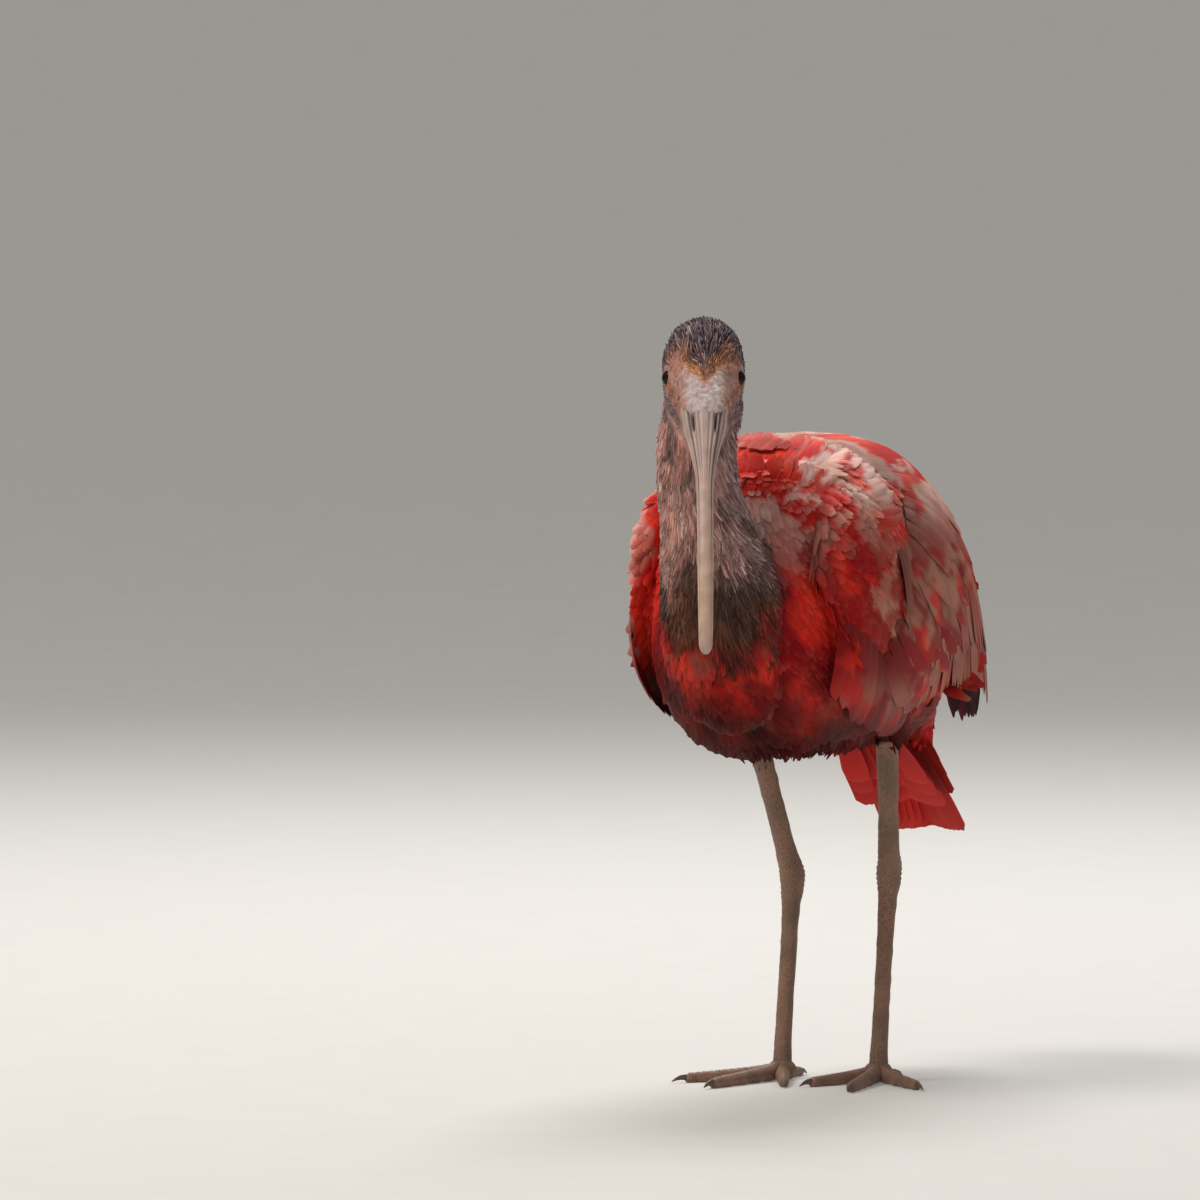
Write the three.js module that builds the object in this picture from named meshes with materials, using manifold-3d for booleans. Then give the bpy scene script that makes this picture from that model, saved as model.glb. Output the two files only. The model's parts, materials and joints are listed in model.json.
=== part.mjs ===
// A scarlet ibis in its change of plumage, standing still and life size, as a museum model.
// Millimetres, +Z up. The breast faces -Y and the bird's own left side is +X. The head is
// turned to the left of the breast. The soles rest on z = 0.
import * as THREE from "three";
import { mergeVertices } from "three/addons/utils/BufferGeometryUtils.js";
import Module from "manifold-3d";

const wasm = await Module();
wasm.setup();

// Driving sizes
const GAP = 0.35; // clearance between neighbouring solids
const SQUARENESS = 2.4; // exponent of the body's cross-sections, where 2 is an ellipse
const SIMPLIFY = 0.07; // detail smaller than this is merged after fusing and cutting
const VANE_THICKNESS = 0.9;
const HEAD_TURN = 24; // degrees to the bird's left
const HEAD_PITCH = 33; // degrees that the skull's long axis points down
const EYE_MIDDLE = new THREE.Vector3(3, -122, 308); // halfway between the eyes
const EYE_RADIUS = 4.4;
const EYE_SPREAD = 12.8; // from the head's mid-plane to an eyeball's centre
const BILL_LENGTH = 128; // along the line of the mouth
const BILL_START_PITCH = 38; // degrees below level at the base
const BILL_END_PITCH = 76; // degrees below level at the tip
const TAIL_FEATHERS = 12;

// Each row is a cross-section: where it stands along Y, the height of its widest point,
// its half-width, and its reach above and below that point.
const TORSO_SECTIONS = [
  [-108, 198, 42, 48, 44],
  [-80, 206, 47, 59, 62],
  [-45, 210, 52, 66, 69],
  [-10, 211, 53, 67, 70],
  [25, 205, 51, 67, 62],
  [55, 190, 44, 61, 46],
  [80, 172, 32, 48, 30],
  [100, 155, 21, 31, 20],
  [118, 138, 13, 17, 14],
];
const TORSO_FRONT_CAP = 46;
const TORSO_REAR_CAP = 18;

// The outer face of the folded wings, in the same terms.
const WING_SECTIONS = [
  [-94, 211, 42, 44, 42],
  [-75, 213, 54, 59, 58],
  [-45, 214, 60, 68, 68],
  [-10, 213, 61.5, 70, 70],
  [25, 209, 60, 71, 64],
  [60, 195, 56, 66, 54],
  [85, 177, 50, 53, 42],
  [105, 163, 43, 39, 32],
  [125, 147, 34, 26, 24],
  [145, 130, 25, 15, 16],
];

// Columns: height, centre X, centre Y, half-width, reach forwards, reach backwards.
const NECK_SECTIONS = [
  [160, 1, -92, 17, 11, 14],
  [174, 1, -95, 23, 16, 18],
  [190, 1, -98, 26.5, 21, 22],
  [210, 1, -100, 27, 23.5, 24],
  [228, 0, -102, 25, 23, 24],
  [243, -3, -103, 22, 21, 22],
  [258, -6, -104, 19.6, 19, 19],
  [273, -7, -106, 18.4, 18, 17],
  [290, -5, -109, 18, 16, 16],
  [303, -3, -111, 16, 14, 15],
];

// Along the skull, in the head's own frame: forward reach, height of the widest point,
// half-width, reach above and below.
const HEAD_SECTIONS = [
  [-34, -3, 13, 15, 13],
  [-24, -4, 16, 21, 16],
  [-12, -4, 17.8, 24, 18],
  [0, -5, 17.2, 21.5, 18],
  [10, -7, 14.6, 17, 15],
  [18, -9, 11.8, 13, 12],
  [25, -11, 10, 10, 10],
];

// Along the line of the mouth: distance, half-width and height of each half of the bill.
const UPPER_BILL_SECTIONS = [
  [-8, 10, 11],
  [6, 9.4, 10.5],
  [18, 8.2, 8.6],
  [30, 6.0, 6.8],
  [42, 4.4, 5.6],
  [60, 3.8, 4.8],
  [94, 3.5, 4.0],
  [118, 3.0, 3.2],
  [128, 2.7, 2.6],
];
const LOWER_BILL_SECTIONS = [
  [-8, 10.4, 9],
  [6, 9.6, 8],
  [18, 8.4, 6.4],
  [30, 6.0, 4.8],
  [42, 4.3, 3.8],
  [60, 3.6, 3.3],
  [94, 3.2, 2.8],
  [118, 2.7, 2.3],
  [125, 2.3, 2.0],
];

// Each leg: where the shank leaves the plumage, the ankle, and the joint of the toes.
const LEGS = {
  right: {
    hip: [-26, 6, 172],
    top: [-25, 8, 140],
    ankle: [-19, 28, 88],
    foot: [-17, 11, 8],
    side: -1,
  },
  left: {
    hip: [28, 14, 172],
    top: [29, 20, 140],
    ankle: [25, 32, 91],
    foot: [26, 17, 8],
    side: 1,
  },
};
const SHANK_TOP_WIDTH = 7.2; // half-widths of the leg
const SHANK_WIDTH = 4.4;
const ANKLE_WIDTH = 5.4;
const TARSUS_WIDTH = 3.7;
const FOOT_PAD_RADIUS = 6.6;
const ANKLE_CUT_DROP = 11; // the shank and the tarsus part this far below the ankle's centre

// Toes: length, turn from straight ahead towards the outer side, and half-width at the root.
const TOES = {
  middle: { length: 56, turn: 2, width: 3.6 },
  inner: { length: 41, turn: -32, width: 3.3 },
  outer: { length: 46, turn: 36, width: 3.3 },
  hind: { length: 22, turn: 172, width: 2.9 },
};
const FOOT_TURN_OUT = 8; // degrees
const CLAW_LENGTH = 9;
const SCUTE_PITCH = 7; // spacing of the plates along a toe
const SCUTE_RISE = 0.4;

const radians = THREE.MathUtils.degToRad;
const clamp = THREE.MathUtils.clamp;
const lerp = THREE.MathUtils.lerp;
const vector = (x, y, z) => new THREE.Vector3(x, y, z);

// Smooth value of every column of a section list at one place of its first column.
function sectionAt(sections, place) {
  const last = sections.length - 1;
  let i = 0;
  while (i < last - 1 && place > sections[i + 1][0]) i++;
  const [a, b] = [sections[i], sections[i + 1]];
  const span = b[0] - a[0];
  const t = clamp((place - a[0]) / span, 0, 1);
  const slope = (k, c) => {
    const before = sections[Math.max(k - 1, 0)];
    const after = sections[Math.min(k + 1, last)];
    return ((after[c] - before[c]) / (after[0] - before[0])) * span;
  };
  const [t2, t3] = [t * t, t * t * t];
  return a.map(
    (_, c) =>
      a[c] * (2 * t3 - 3 * t2 + 1) +
      slope(i, c) * (t3 - 2 * t2 + t) +
      b[c] * (3 * t2 - 2 * t3) +
      slope(i + 1, c) * (t3 - t2),
  );
}

// How much of its full section a form has at some distance from a rounded end.
function capShare(distance, cap) {
  if (distance >= cap) return 1;
  return Math.sqrt(Math.max(0, 1 - ((cap - distance) / cap) ** 2));
}

// A signed power, for cross-sections squarer than an ellipse.
function bulge(value, exponent) {
  return Math.sign(value) * Math.abs(value) ** (2 / exponent);
}

// A closed form: a sphere whose vertices are moved to form(share, angle), where share runs
// from pole to pole and angle is measured round the form from its top.
function formed(around, along, form) {
  const geometry = new THREE.SphereGeometry(1, around, along);
  const position = geometry.attributes.position;
  const p = vector(0, 0, 0);
  for (let i = 0; i < position.count; i++) {
    p.fromBufferAttribute(position, i);
    const share = Math.acos(clamp(p.y, -1, 1)) / Math.PI;
    const place = form(share, Math.atan2(p.x, p.z));
    position.setXYZ(i, place.x, place.y, place.z);
  }
  return geometry;
}

// Rings crowd towards both poles, so that round ends stay round.
const eased = (share) => (1 - Math.cos(Math.PI * share)) / 2;

// A manifold solid from a closed three.js geometry, whichever way its faces wind.
function solid(geometry) {
  const bare = new THREE.BufferGeometry();
  bare.setAttribute("position", geometry.getAttribute("position"));
  if (geometry.index) bare.setIndex(geometry.index);
  const merged = mergeVertices(bare, 1e-3);
  const corners = [];
  const index = merged.index.array;
  for (let i = 0; i < index.length; i += 3) {
    const [a, b, c] = [index[i], index[i + 1], index[i + 2]];
    if (a !== b && b !== c && c !== a) corners.push(a, b, c);
  }
  const make = (triVerts) =>
    new wasm.Manifold(
      new wasm.Mesh({
        numProp: 3,
        vertProperties: merged.attributes.position.array,
        triVerts: new Uint32Array(triVerts),
      }),
    );
  const made = make(corners);
  if (made.volume() > 0) return made;
  const turned = [];
  for (let i = 0; i < corners.length; i += 3) turned.push(corners[i], corners[i + 2], corners[i + 1]);
  return make(turned);
}

// The solid's surface as a three.js geometry.
function surface(made) {
  const mesh = made.getMesh();
  const count = mesh.numProp;
  const position = new Float32Array(mesh.numVert * 3);
  for (let i = 0; i < mesh.numVert; i++) {
    position.set(mesh.vertProperties.subarray(i * count, i * count + 3), i * 3);
  }
  const geometry = new THREE.BufferGeometry();
  geometry.setAttribute("position", new THREE.BufferAttribute(position, 3));
  geometry.setIndex(new THREE.BufferAttribute(new Uint32Array(mesh.triVerts), 1));
  return geometry;
}

// A smooth form grown outwards by the clearance, to cut its neighbours back from it.
function grown(geometry, by = GAP) {
  const bare = new THREE.BufferGeometry();
  bare.setAttribute("position", geometry.getAttribute("position").clone());
  if (geometry.index) bare.setIndex(geometry.index);
  const merged = mergeVertices(bare, 1e-3);
  merged.computeVertexNormals();
  const { position, normal } = merged.attributes;
  const inside = signedVolume(merged) < 0 ? -1 : 1;
  for (let i = 0; i < position.count; i++) {
    position.setXYZ(
      i,
      position.getX(i) + inside * by * normal.getX(i),
      position.getY(i) + inside * by * normal.getY(i),
      position.getZ(i) + inside * by * normal.getZ(i),
    );
  }
  return solid(merged);
}

function signedVolume(geometry) {
  const { position } = geometry.attributes;
  const index = geometry.index.array;
  const [a, b, c] = [vector(0, 0, 0), vector(0, 0, 0), vector(0, 0, 0)];
  let volume = 0;
  for (let i = 0; i < index.length; i += 3) {
    a.fromBufferAttribute(position, index[i]);
    b.fromBufferAttribute(position, index[i + 1]);
    c.fromBufferAttribute(position, index[i + 2]);
    volume += a.dot(b.cross(c)) / 6;
  }
  return volume;
}

// Only the largest closed surface of a solid: what fusing seals in or cuts loose goes.
function largest(made) {
  const pieces = made.decompose().sort((a, b) => b.volume() - a.volume());
  return pieces[0].simplify(SIMPLIFY);
}

const union = (solids) => wasm.Manifold.union(solids);

// A thin plate, rows by columns, whose middle surface is place(i, j) and whose faces lie
// half the thickness either way along normal(i, j). Both faces are split into triangles
// alike, so that a bent plate never crosses itself.
function plate(rows, columns, place, thickness) {
  const width = columns + 1;
  const layer = (rows + 1) * width;
  const positions = [];
  for (const side of [1, -1]) {
    for (let i = 0; i <= rows; i++) {
      for (let j = 0; j <= columns; j++) {
        const { point, normal } = place(i / rows, j / columns);
        const half = (side * thickness(i / rows, j / columns)) / 2;
        positions.push(point.x + normal.x * half, point.y + normal.y * half, point.z + normal.z * half);
      }
    }
  }
  const top = (i, j) => i * width + j;
  const under = (i, j) => layer + i * width + j;
  const index = [];
  const quad = (a, b, c, d) => index.push(a, b, c, a, c, d);
  for (let i = 0; i < rows; i++) {
    for (let j = 0; j < columns; j++) {
      quad(top(i, j), top(i + 1, j), top(i + 1, j + 1), top(i, j + 1));
      index.push(under(i, j), under(i + 1, j + 1), under(i + 1, j));
      index.push(under(i, j), under(i, j + 1), under(i + 1, j + 1));
    }
  }
  for (let i = 0; i < rows; i++) {
    quad(under(i, 0), under(i + 1, 0), top(i + 1, 0), top(i, 0));
    quad(top(i, columns), top(i + 1, columns), under(i + 1, columns), under(i, columns));
  }
  for (let j = 0; j < columns; j++) {
    quad(top(0, j), top(0, j + 1), under(0, j + 1), under(0, j));
    quad(under(rows, j), under(rows, j + 1), top(rows, j + 1), top(rows, j));
  }
  const geometry = new THREE.BufferGeometry();
  geometry.setAttribute("position", new THREE.Float32BufferAttribute(positions, 3));
  geometry.setIndex(index);
  return geometry;
}

// A point of a body section list, at a place along Y and an angle from the top of the back
// towards the bird's left.
function bodyPoint(sections, y, angle, share = 1) {
  const [, middle, half, up, down] = sectionAt(sections, y);
  const rise = Math.cos(angle) > 0 ? up : down;
  return vector(
    share * half * bulge(Math.sin(angle), SQUARENESS),
    y,
    middle + share * rise * bulge(Math.cos(angle), SQUARENESS),
  );
}

function torsoForm() {
  const from = TORSO_SECTIONS[0][0];
  const to = TORSO_SECTIONS.at(-1)[0];
  return formed(26, 18, (share, angle) => {
    const y = lerp(from, to, eased(share));
    const round = capShare(y - from, TORSO_FRONT_CAP) * capShare(to - y, TORSO_REAR_CAP);
    return bodyPoint(TORSO_SECTIONS, y, angle, round);
  });
}

// An upright column with its own reach forwards and backwards.
function columnForm(sections, { around = 20, along = 14, capLow = 8, capHigh = 8}) {
  const from = sections[0][0];
  const to = sections.at(-1)[0];
  return formed(around, along, (share, angle) => {
    const z = lerp(from, to, eased(share));
    const [, x, y, half, front, back] = sectionAt(sections, z);
    const round = capShare(z - from, capLow) * capShare(to - z, capHigh);
    const reach = Math.cos(angle) > 0 ? front : back;
    return vector(
      x + round * half * Math.sin(angle),
      y - round * reach * Math.cos(angle),
      z,
    );
  });
}

// The head's own frame: forward along the skull, sideways to the left, and up.
const ahead = vector(Math.sin(radians(HEAD_TURN)), -Math.cos(radians(HEAD_TURN)), 0);
const leftward = vector(Math.cos(radians(HEAD_TURN)), Math.sin(radians(HEAD_TURN)), 0);
const upward = vector(0, 0, 1);

// Directions along and square to a line that points down by some pitch.
function pitched(pitch) {
  const along = ahead.clone().multiplyScalar(Math.cos(pitch)).addScaledVector(upward, -Math.sin(pitch));
  const above = ahead.clone().multiplyScalar(Math.sin(pitch)).addScaledVector(upward, Math.cos(pitch));
  return { along, above };
}

const skull = pitched(radians(HEAD_PITCH));

function headPlace(forward, side, up) {
  return EYE_MIDDLE.clone()
    .addScaledVector(skull.along, forward)
    .addScaledVector(leftward, side)
    .addScaledVector(skull.above, up);
}

function headForm() {
  const from = HEAD_SECTIONS[0][0];
  const to = HEAD_SECTIONS.at(-1)[0];
  return formed(22, 17, (share, angle) => {
    const forward = lerp(from, to, eased(share));
    const [, middle, half, up, down] = sectionAt(HEAD_SECTIONS, forward);
    const round = capShare(forward - from, 20) * capShare(to - forward, 4);
    const rise = Math.cos(angle) > 0 ? up : down;
    return headPlace(
      forward,
      round * half * bulge(Math.sin(angle), 2.15),
      middle + round * rise * bulge(Math.cos(angle), 2.15),
    );
  });
}

// The line of the mouth is one arc from the face to the tip.
const billRadius = BILL_LENGTH / radians(BILL_END_PITCH - BILL_START_PITCH);
const billStart = headPlace(0, 0, 0)
  .addScaledVector(ahead, 13)
  .addScaledVector(upward, -8);

function billPlace(distance) {
  const start = radians(BILL_START_PITCH);
  const pitch = start + distance / billRadius;
  const point = billStart
    .clone()
    .addScaledVector(ahead, billRadius * (Math.sin(pitch) - Math.sin(start)))
    .addScaledVector(upward, -billRadius * (Math.cos(start) - Math.cos(pitch)));
  return { point, ...pitched(pitch) };
}

// One half of the bill: flat along the mouth, arched on its other side, with a nasal groove
// down each side of the upper half.
function billForm(sections, direction, around, groove) {
  const from = sections[0][0];
  const to = sections.at(-1)[0];
  return formed(around, 18, (share, angle) => {
    const distance = lerp(from, to, eased(share));
    const [, half, height] = sectionAt(sections, distance);
    const round = capShare(distance - from, 2) * capShare(to - distance, 5);
    const { point, above } = billPlace(distance);
    const high = Math.max(0, Math.cos(angle));
    const dip = groove * Math.exp(-(((Math.abs(angle) - radians(52)) / radians(11)) ** 2));
    const rise = Math.cos(angle) > 0 ? height * high ** 0.85 : 0.22 * Math.cos(angle);
    return point
      .clone()
      .addScaledVector(leftward, round * half * (1 - dip) * bulge(Math.sin(angle), 2.3))
      .addScaledVector(above, direction * round * (rise * (1 - dip) + 0.45));
  });
}

// An ellipsoid in the head's frame.
function headBall(forward, side, up, radii, around = 14, along = 10) {
  const geometry = new THREE.SphereGeometry(1, around, along);
  const frame = new THREE.Matrix4().makeBasis(skull.along, leftward, skull.above);
  geometry.scale(...radii);
  geometry.applyMatrix4(frame);
  const centre = headPlace(forward, side, up);
  geometry.translate(centre.x, centre.y, centre.z);
  return geometry;
}

// The rim of the lids: a ring round the eye that stands a little proud of the cheek.
function lidRing(side) {
  const ring = new THREE.TorusGeometry(EYE_RADIUS - 0.5, 0.95, 5, 14);
  ring.rotateY(Math.PI / 2);
  const outward = leftward.clone().multiplyScalar(side).addScaledVector(ahead, 0.22).normalize();
  const along = skull.along.clone().addScaledVector(outward, -skull.along.dot(outward)).normalize();
  const over = outward.clone().cross(along);
  ring.applyMatrix4(new THREE.Matrix4().makeBasis(outward, along, over));
  const centre = headPlace(0, side * EYE_SPREAD, 0).addScaledVector(outward, 2.4);
  ring.translate(centre.x, centre.y, centre.z);
  return ring;
}

// The outward direction of the wing's face.
function wingNormal(y, angle) {
  const step = 1e-2;
  const alongY = bodyPoint(WING_SECTIONS, y + 1, angle).sub(bodyPoint(WING_SECTIONS, y - 1, angle));
  const round = bodyPoint(WING_SECTIONS, y, angle + step).sub(bodyPoint(WING_SECTIONS, y, angle - step));
  const normal = alongY.cross(round).normalize();
  return normal.dot(vector(Math.sin(angle), 0, Math.cos(angle))) < 0 ? normal.negate() : normal;
}

function wingPlace(y, angle, lift) {
  const normal = wingNormal(y, angle);
  return { point: bodyPoint(WING_SECTIONS, y, angle).addScaledVector(normal, lift), normal };
}

// The front part of the folded wing, from the wrist back, as a bent plate. Each row is a
// place along Y and the angles of the upper and lower edges, in degrees.
const WING_PLATE = [
  [-90, 62, 86],
  [-84, 46, 102],
  [-70, 30, 118],
  [-45, 16, 128],
  [-10, 5, 134],
  [25, 3, 134],
  [62, 3, 118],
];
const WING_PLATE_THICKNESS = 7;
const CORE_DEPTH = 1.3; // of the plate under the feathers' tips

const coreThickness = (share) =>
  WING_PLATE_THICKNESS * lerp(0.4, 1, clamp(6 * share, 0, 1)) * lerp(1, 0.5, clamp(4 * share - 1, 0, 1));

function wingCore() {
  const from = WING_PLATE[0][0];
  const to = WING_PLATE.at(-1)[0];
  return plate(
    9,
    9,
    (i, j) => {
      const y = lerp(from, to, i ** 1.3);
      const [, upper, lower] = sectionAt(WING_PLATE, y);
      const thickness = coreThickness(i);
      return wingPlace(y, radians(lerp(upper, lower, j)), -thickness / 2 - CORE_DEPTH);
    },
    coreThickness,
  );
}

// A feather's vane: a narrow bent plate from its sunk root to its tip, a little arched.
function vane({ root, tip, width, rows, rootLift, tipLift, tilt }) {
  const middle = (t) =>
    wingPlace(lerp(root[0], tip[0], t), radians(lerp(root[1], tip[1], t)), lerp(rootLift, tipLift, Math.max(t, 0) ** 0.5));
  const outline = (t) => lerp(width[0], width[1], t) * (0.55 + 0.45 * Math.sin(Math.PI * clamp(t * 1.05, 0, 0.5))) * (t > 0.8 ? 1 - 2.6 * (t - 0.8) : 1);
  return plate(
    rows,
    1,
    (t, across) => {
      const { point, normal } = middle(t);
      const along = middle(t + 0.02).point.sub(middle(t - 0.02).point).normalize();
      const sideways = normal.clone().cross(along).normalize();
      const share = 2 * across - 1;
      point.addScaledVector(sideways, (share * outline(t)) / 2);
      point.addScaledVector(normal, tilt * share - 0.04 * width[1] * share * share);
      return { point, normal };
    },
    (t) => lerp(VANE_THICKNESS * 1.4, VANE_THICKNESS * 0.7, t),
  );
}

// Tiers of the folded wing. The first figure of a pair is for the feather nearest the back
// and the second for the lowest one: roots and tips give a place along Y and an angle.
const WING_TIERS = [
  { name: "primaries", count: 4, rows: 3, rootY: [60, 50], rootAngle: [52, 82], tipY: [136, 126], tipAngle: [30, 64], width: [12, 8], lift: [-3.4, -3.0] },
  { name: "tertials", count: 4, rows: 4, rootY: [10, 22], rootAngle: [6.5, 46], tipY: [116, 124], tipAngle: [6, 46], width: [24, 12], lift: [-3.2, 0.8] },
  { name: "plumes", count: 7, rows: 3, rootY: [76, -34], rootAngle: [54, 84], tipY: [106, -8], tipAngle: [92, 138], width: [20, 18], lift: [-3.2, 0.2] },
  { name: "scapulars", count: 4, rows: 3, rootY: [-38, -12], rootAngle: [8, 47], tipY: [34, 58], tipAngle: [6.5, 60], width: [25, 22], lift: [-3.2, 1.8] },
  { name: "greater coverts", count: 5, rows: 2, rootY: [-44, -56], rootAngle: [50, 112], tipY: [-2, -24], tipAngle: [66, 130], width: [20, 20], lift: [-3.2, 1.6] },
  { name: "lesser coverts", count: 5, rows: 2, rootY: [-72, -78], rootAngle: [42, 104], tipY: [-34, -48], tipAngle: [52, 120], width: [22, 20], lift: [-3.2, 1.6] },
];

function wingVanes() {
  return WING_TIERS.flatMap((tier) =>
    Array.from({ length: tier.count }, (_, k) => {
      const t = k / (tier.count - 1);
      const at = (pair) => lerp(pair[0], pair[1], t);
      return vane({
        root: [at(tier.rootY), at(tier.rootAngle)],
        tip: [at(tier.tipY), at(tier.tipAngle)],
        width: tier.width,
        rows: tier.rows,
        rootLift: tier.lift[0],
        tipLift: tier.lift[1],
        tilt: 0.8,
      });
    }),
  );
}

// The wing of one side: its front plate with every vane rooted in it, cut back from the body.
function wing(side, body) {
  const left = largest(union([solid(wingCore()), ...wingVanes().map(solid)]));
  const clear = left.subtract(body).trimByPlane([1, 0, 0], GAP);
  const whole = largest(clear);
  return side > 0 ? whole : whole.mirror([1, 0, 0]);
}

// The tail: a fan of long narrow vanes that droop from a short fleshy root.
const TAIL_ROOT = vector(0, 80, 163);
const TAIL_TIP = vector(0, 146, 105);
const TAIL_FAN = 5; // degrees either side at the outer feathers
const TAIL_FEATHER_WIDTH = 9;
const TAIL_ROOT_HALF_WIDTH = 9;
const TAIL_STACK = 6.5; // drop of the outer feathers below the middle pair

function tailVane(k) {
  const share = (2 * k) / (TAIL_FEATHERS - 1) - 1;
  const along = TAIL_TIP.clone().sub(TAIL_ROOT);
  const length = along.length() * (1 - 0.05 * share * share);
  const above = along.clone().cross(vector(-1, 0, 0)).normalize();
  along.normalize().applyAxisAngle(above, radians(-share * TAIL_FAN));
  const sideways = above.clone().cross(along).applyAxisAngle(along, radians(-9 * Math.sign(share)));
  const normal = along.clone().cross(sideways);
  if (normal.dot(above) < 0) normal.negate();
  const start = TAIL_ROOT.clone()
    .add(vector(share * TAIL_ROOT_HALF_WIDTH, 0, 0))
    .addScaledVector(above, -TAIL_STACK * Math.abs(share));
  return plate(
    3,
    1,
    (s, across) => {
      const half = (TAIL_FEATHER_WIDTH / 2) * (s > 0.7 ? 1 - 1.4 * (s - 0.7) : 0.6 + 0.57 * s);
      const point = start
        .clone()
        .addScaledVector(along, s * length)
        .addScaledVector(sideways, (2 * across - 1) * half);
      return { point, normal };
    },
    (s) => lerp(1.2, 0.7, s),
  );
}

function tail(body) {
  const core = new THREE.SphereGeometry(1, 14, 10);
  core.scale(14, 6, 22);
  core.rotateX(Math.atan2(TAIL_TIP.y - TAIL_ROOT.y, TAIL_ROOT.z - TAIL_TIP.z));
  const centre = TAIL_ROOT.clone().lerp(TAIL_TIP, 0.42);
  core.translate(centre.x, centre.y - 1.5, centre.z - 2);
  const vanes = Array.from({ length: TAIL_FEATHERS }, (_, k) => solid(tailVane(k)));
  return largest(union([solid(core), ...vanes]).subtract(body));
}

// Legs
function thighForm({ hip, top }) {
  const low = [top[0], top[1] + 3, 127];
  return columnForm(
    [
      [low[2], low[0], low[1], SHANK_TOP_WIDTH - 0.5, SHANK_TOP_WIDTH, SHANK_TOP_WIDTH],
      [top[2], top[0], top[1], 10, 12, 12],
      [hip[2], hip[0], hip[1], 16, 22, 22],
    ],
    { around: 14, along: 9, capLow: 3, capHigh: 12 },
  );
}

// The bare leg from inside the thigh to the foot, thickest at the ankle.
function legForm({ top, ankle, foot }) {
  const half = (width, depth) => [width, width * depth, width * depth];
  const between = (a, b, t) => a.map((value, c) => lerp(value, b[c], t));
  const row = (place, sizes) => [place[2], place[0], place[1], ...sizes];
  const sections = [
    row([foot[0], foot[1], 3], half(TARSUS_WIDTH + 0.6, 1.1)),
    row(between(foot, ankle, 0.12), half(TARSUS_WIDTH, 1.05)),
    row(between(foot, ankle, 0.5), half(TARSUS_WIDTH - 0.15, 1.05)),
    row(between(foot, ankle, 0.84), half(TARSUS_WIDTH + 0.3, 1.15)),
    row(ankle, half(ANKLE_WIDTH, 1.25)),
    row(between(ankle, top, 0.2), half(SHANK_WIDTH + 0.3, 1.15)),
    row(between(ankle, top, 0.55), half(SHANK_WIDTH, 1.0)),
    row(between(ankle, top, 1), half(SHANK_WIDTH + 0.6, 1.05)),
  ];
  return columnForm(sections, { around: 12, along: 22, capLow: 2, capHigh: 2 });
}

// A toe along the floor: soft pads under it, plates over it, and a flat sole.
function toeForm(leg, { length, turn, width }) {
  const heading = radians(leg.side * (turn + FOOT_TURN_OUT));
  const forward = vector(Math.sin(heading), -Math.cos(heading), 0);
  const sideways = vector(Math.cos(heading), Math.sin(heading), 0);
  const pads = Math.round(length / 12);
  const steps = Math.round(length / SCUTE_PITCH) * 2;
  return formed(8, steps, (share, angle) => {
    const s = share * length;
    const round = capShare(s, 3) * capShare(length - s, 2.5);
    const half = lerp(width, width * 0.62, share) * round;
    const pad = 1 + 0.1 * Math.cos((2 * Math.PI * pads * s) / length);
    const plateRise = SCUTE_RISE * (Math.cos((2 * Math.PI * s) / SCUTE_PITCH) > 0 ? 1 : 0);
    const high = Math.cos(angle);
    const reach = high > 0 ? half * 1.05 + plateRise * round : half * pad;
    const base = lerp(width * 0.95, width * 0.55, share) + 2.4 * Math.exp(-s / 5);
    return vector(leg.foot[0], leg.foot[1], base + reach * high)
      .addScaledVector(forward, s)
      .addScaledVector(sideways, half * pad * Math.sin(angle));
  });
}

function clawForm(leg, { length, turn, width }) {
  const heading = radians(leg.side * (turn + FOOT_TURN_OUT));
  const forward = vector(Math.sin(heading), -Math.cos(heading), 0);
  const sideways = vector(Math.cos(heading), Math.sin(heading), 0);
  return formed(6, 5, (share, angle) => {
    const s = share * CLAW_LENGTH;
    const half = width * 0.5 * (1 - share) ** 0.6 * capShare(s, 1.2);
    const rise = width * 0.58 + 0.8 * Math.sin(Math.PI * share) - 1.3 * share * share;
    return vector(leg.foot[0], leg.foot[1], rise + half * Math.cos(angle))
      .addScaledVector(forward, length - 2.6 + s)
      .addScaledVector(sideways, half * 0.8 * Math.sin(angle));
  });
}

const floorUp = (made) => largest(made.trimByPlane([0, 0, 1], 0));

// Assembly
const ibis = new THREE.Group();

const finishes = {
  plumage: { color: 0xd8402c, roughness: 0.85 },
  neckPlumage: { color: 0x7d5a4c, roughness: 0.9 },
  wingPlumage: { color: 0xd6644f, roughness: 0.8 },
  bill: { color: 0xb79a8c, roughness: 0.55 },
  eye: { color: 0x120d0c, roughness: 0.08 },
  leg: { color: 0xb27f69, roughness: 0.7 },
  claw: { color: 0x4a3a34, roughness: 0.45 },
};

function add(name, made, finish) {
  const material = new THREE.MeshStandardMaterial({ metalness: 0, ...finishes[finish] });
  const mesh = new THREE.Mesh(surface(made), material);
  mesh.name = name;
  ibis.add(mesh);
}

const torso = torsoForm();
const torsoSolid = solid(torso);
const aroundTorso = grown(torso);
const head = headForm();
const eyes = {
  left: headBall(0, EYE_SPREAD, 0, [EYE_RADIUS, EYE_RADIUS, EYE_RADIUS], 14, 8),
  right: headBall(0, -EYE_SPREAD, 0, [EYE_RADIUS, EYE_RADIUS, EYE_RADIUS], 14, 8),
};
const aroundHead = grown(head);

add("torso", torsoSolid, "plumage");

const headSolid = union([solid(head), solid(lidRing(1)), solid(lidRing(-1))])
  .subtract(grown(eyes.left))
  .subtract(grown(eyes.right));
add("head", largest(headSolid), "neckPlumage");
add("eye_left", solid(eyes.left), "eye");
add("eye_right", solid(eyes.right), "eye");

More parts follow.
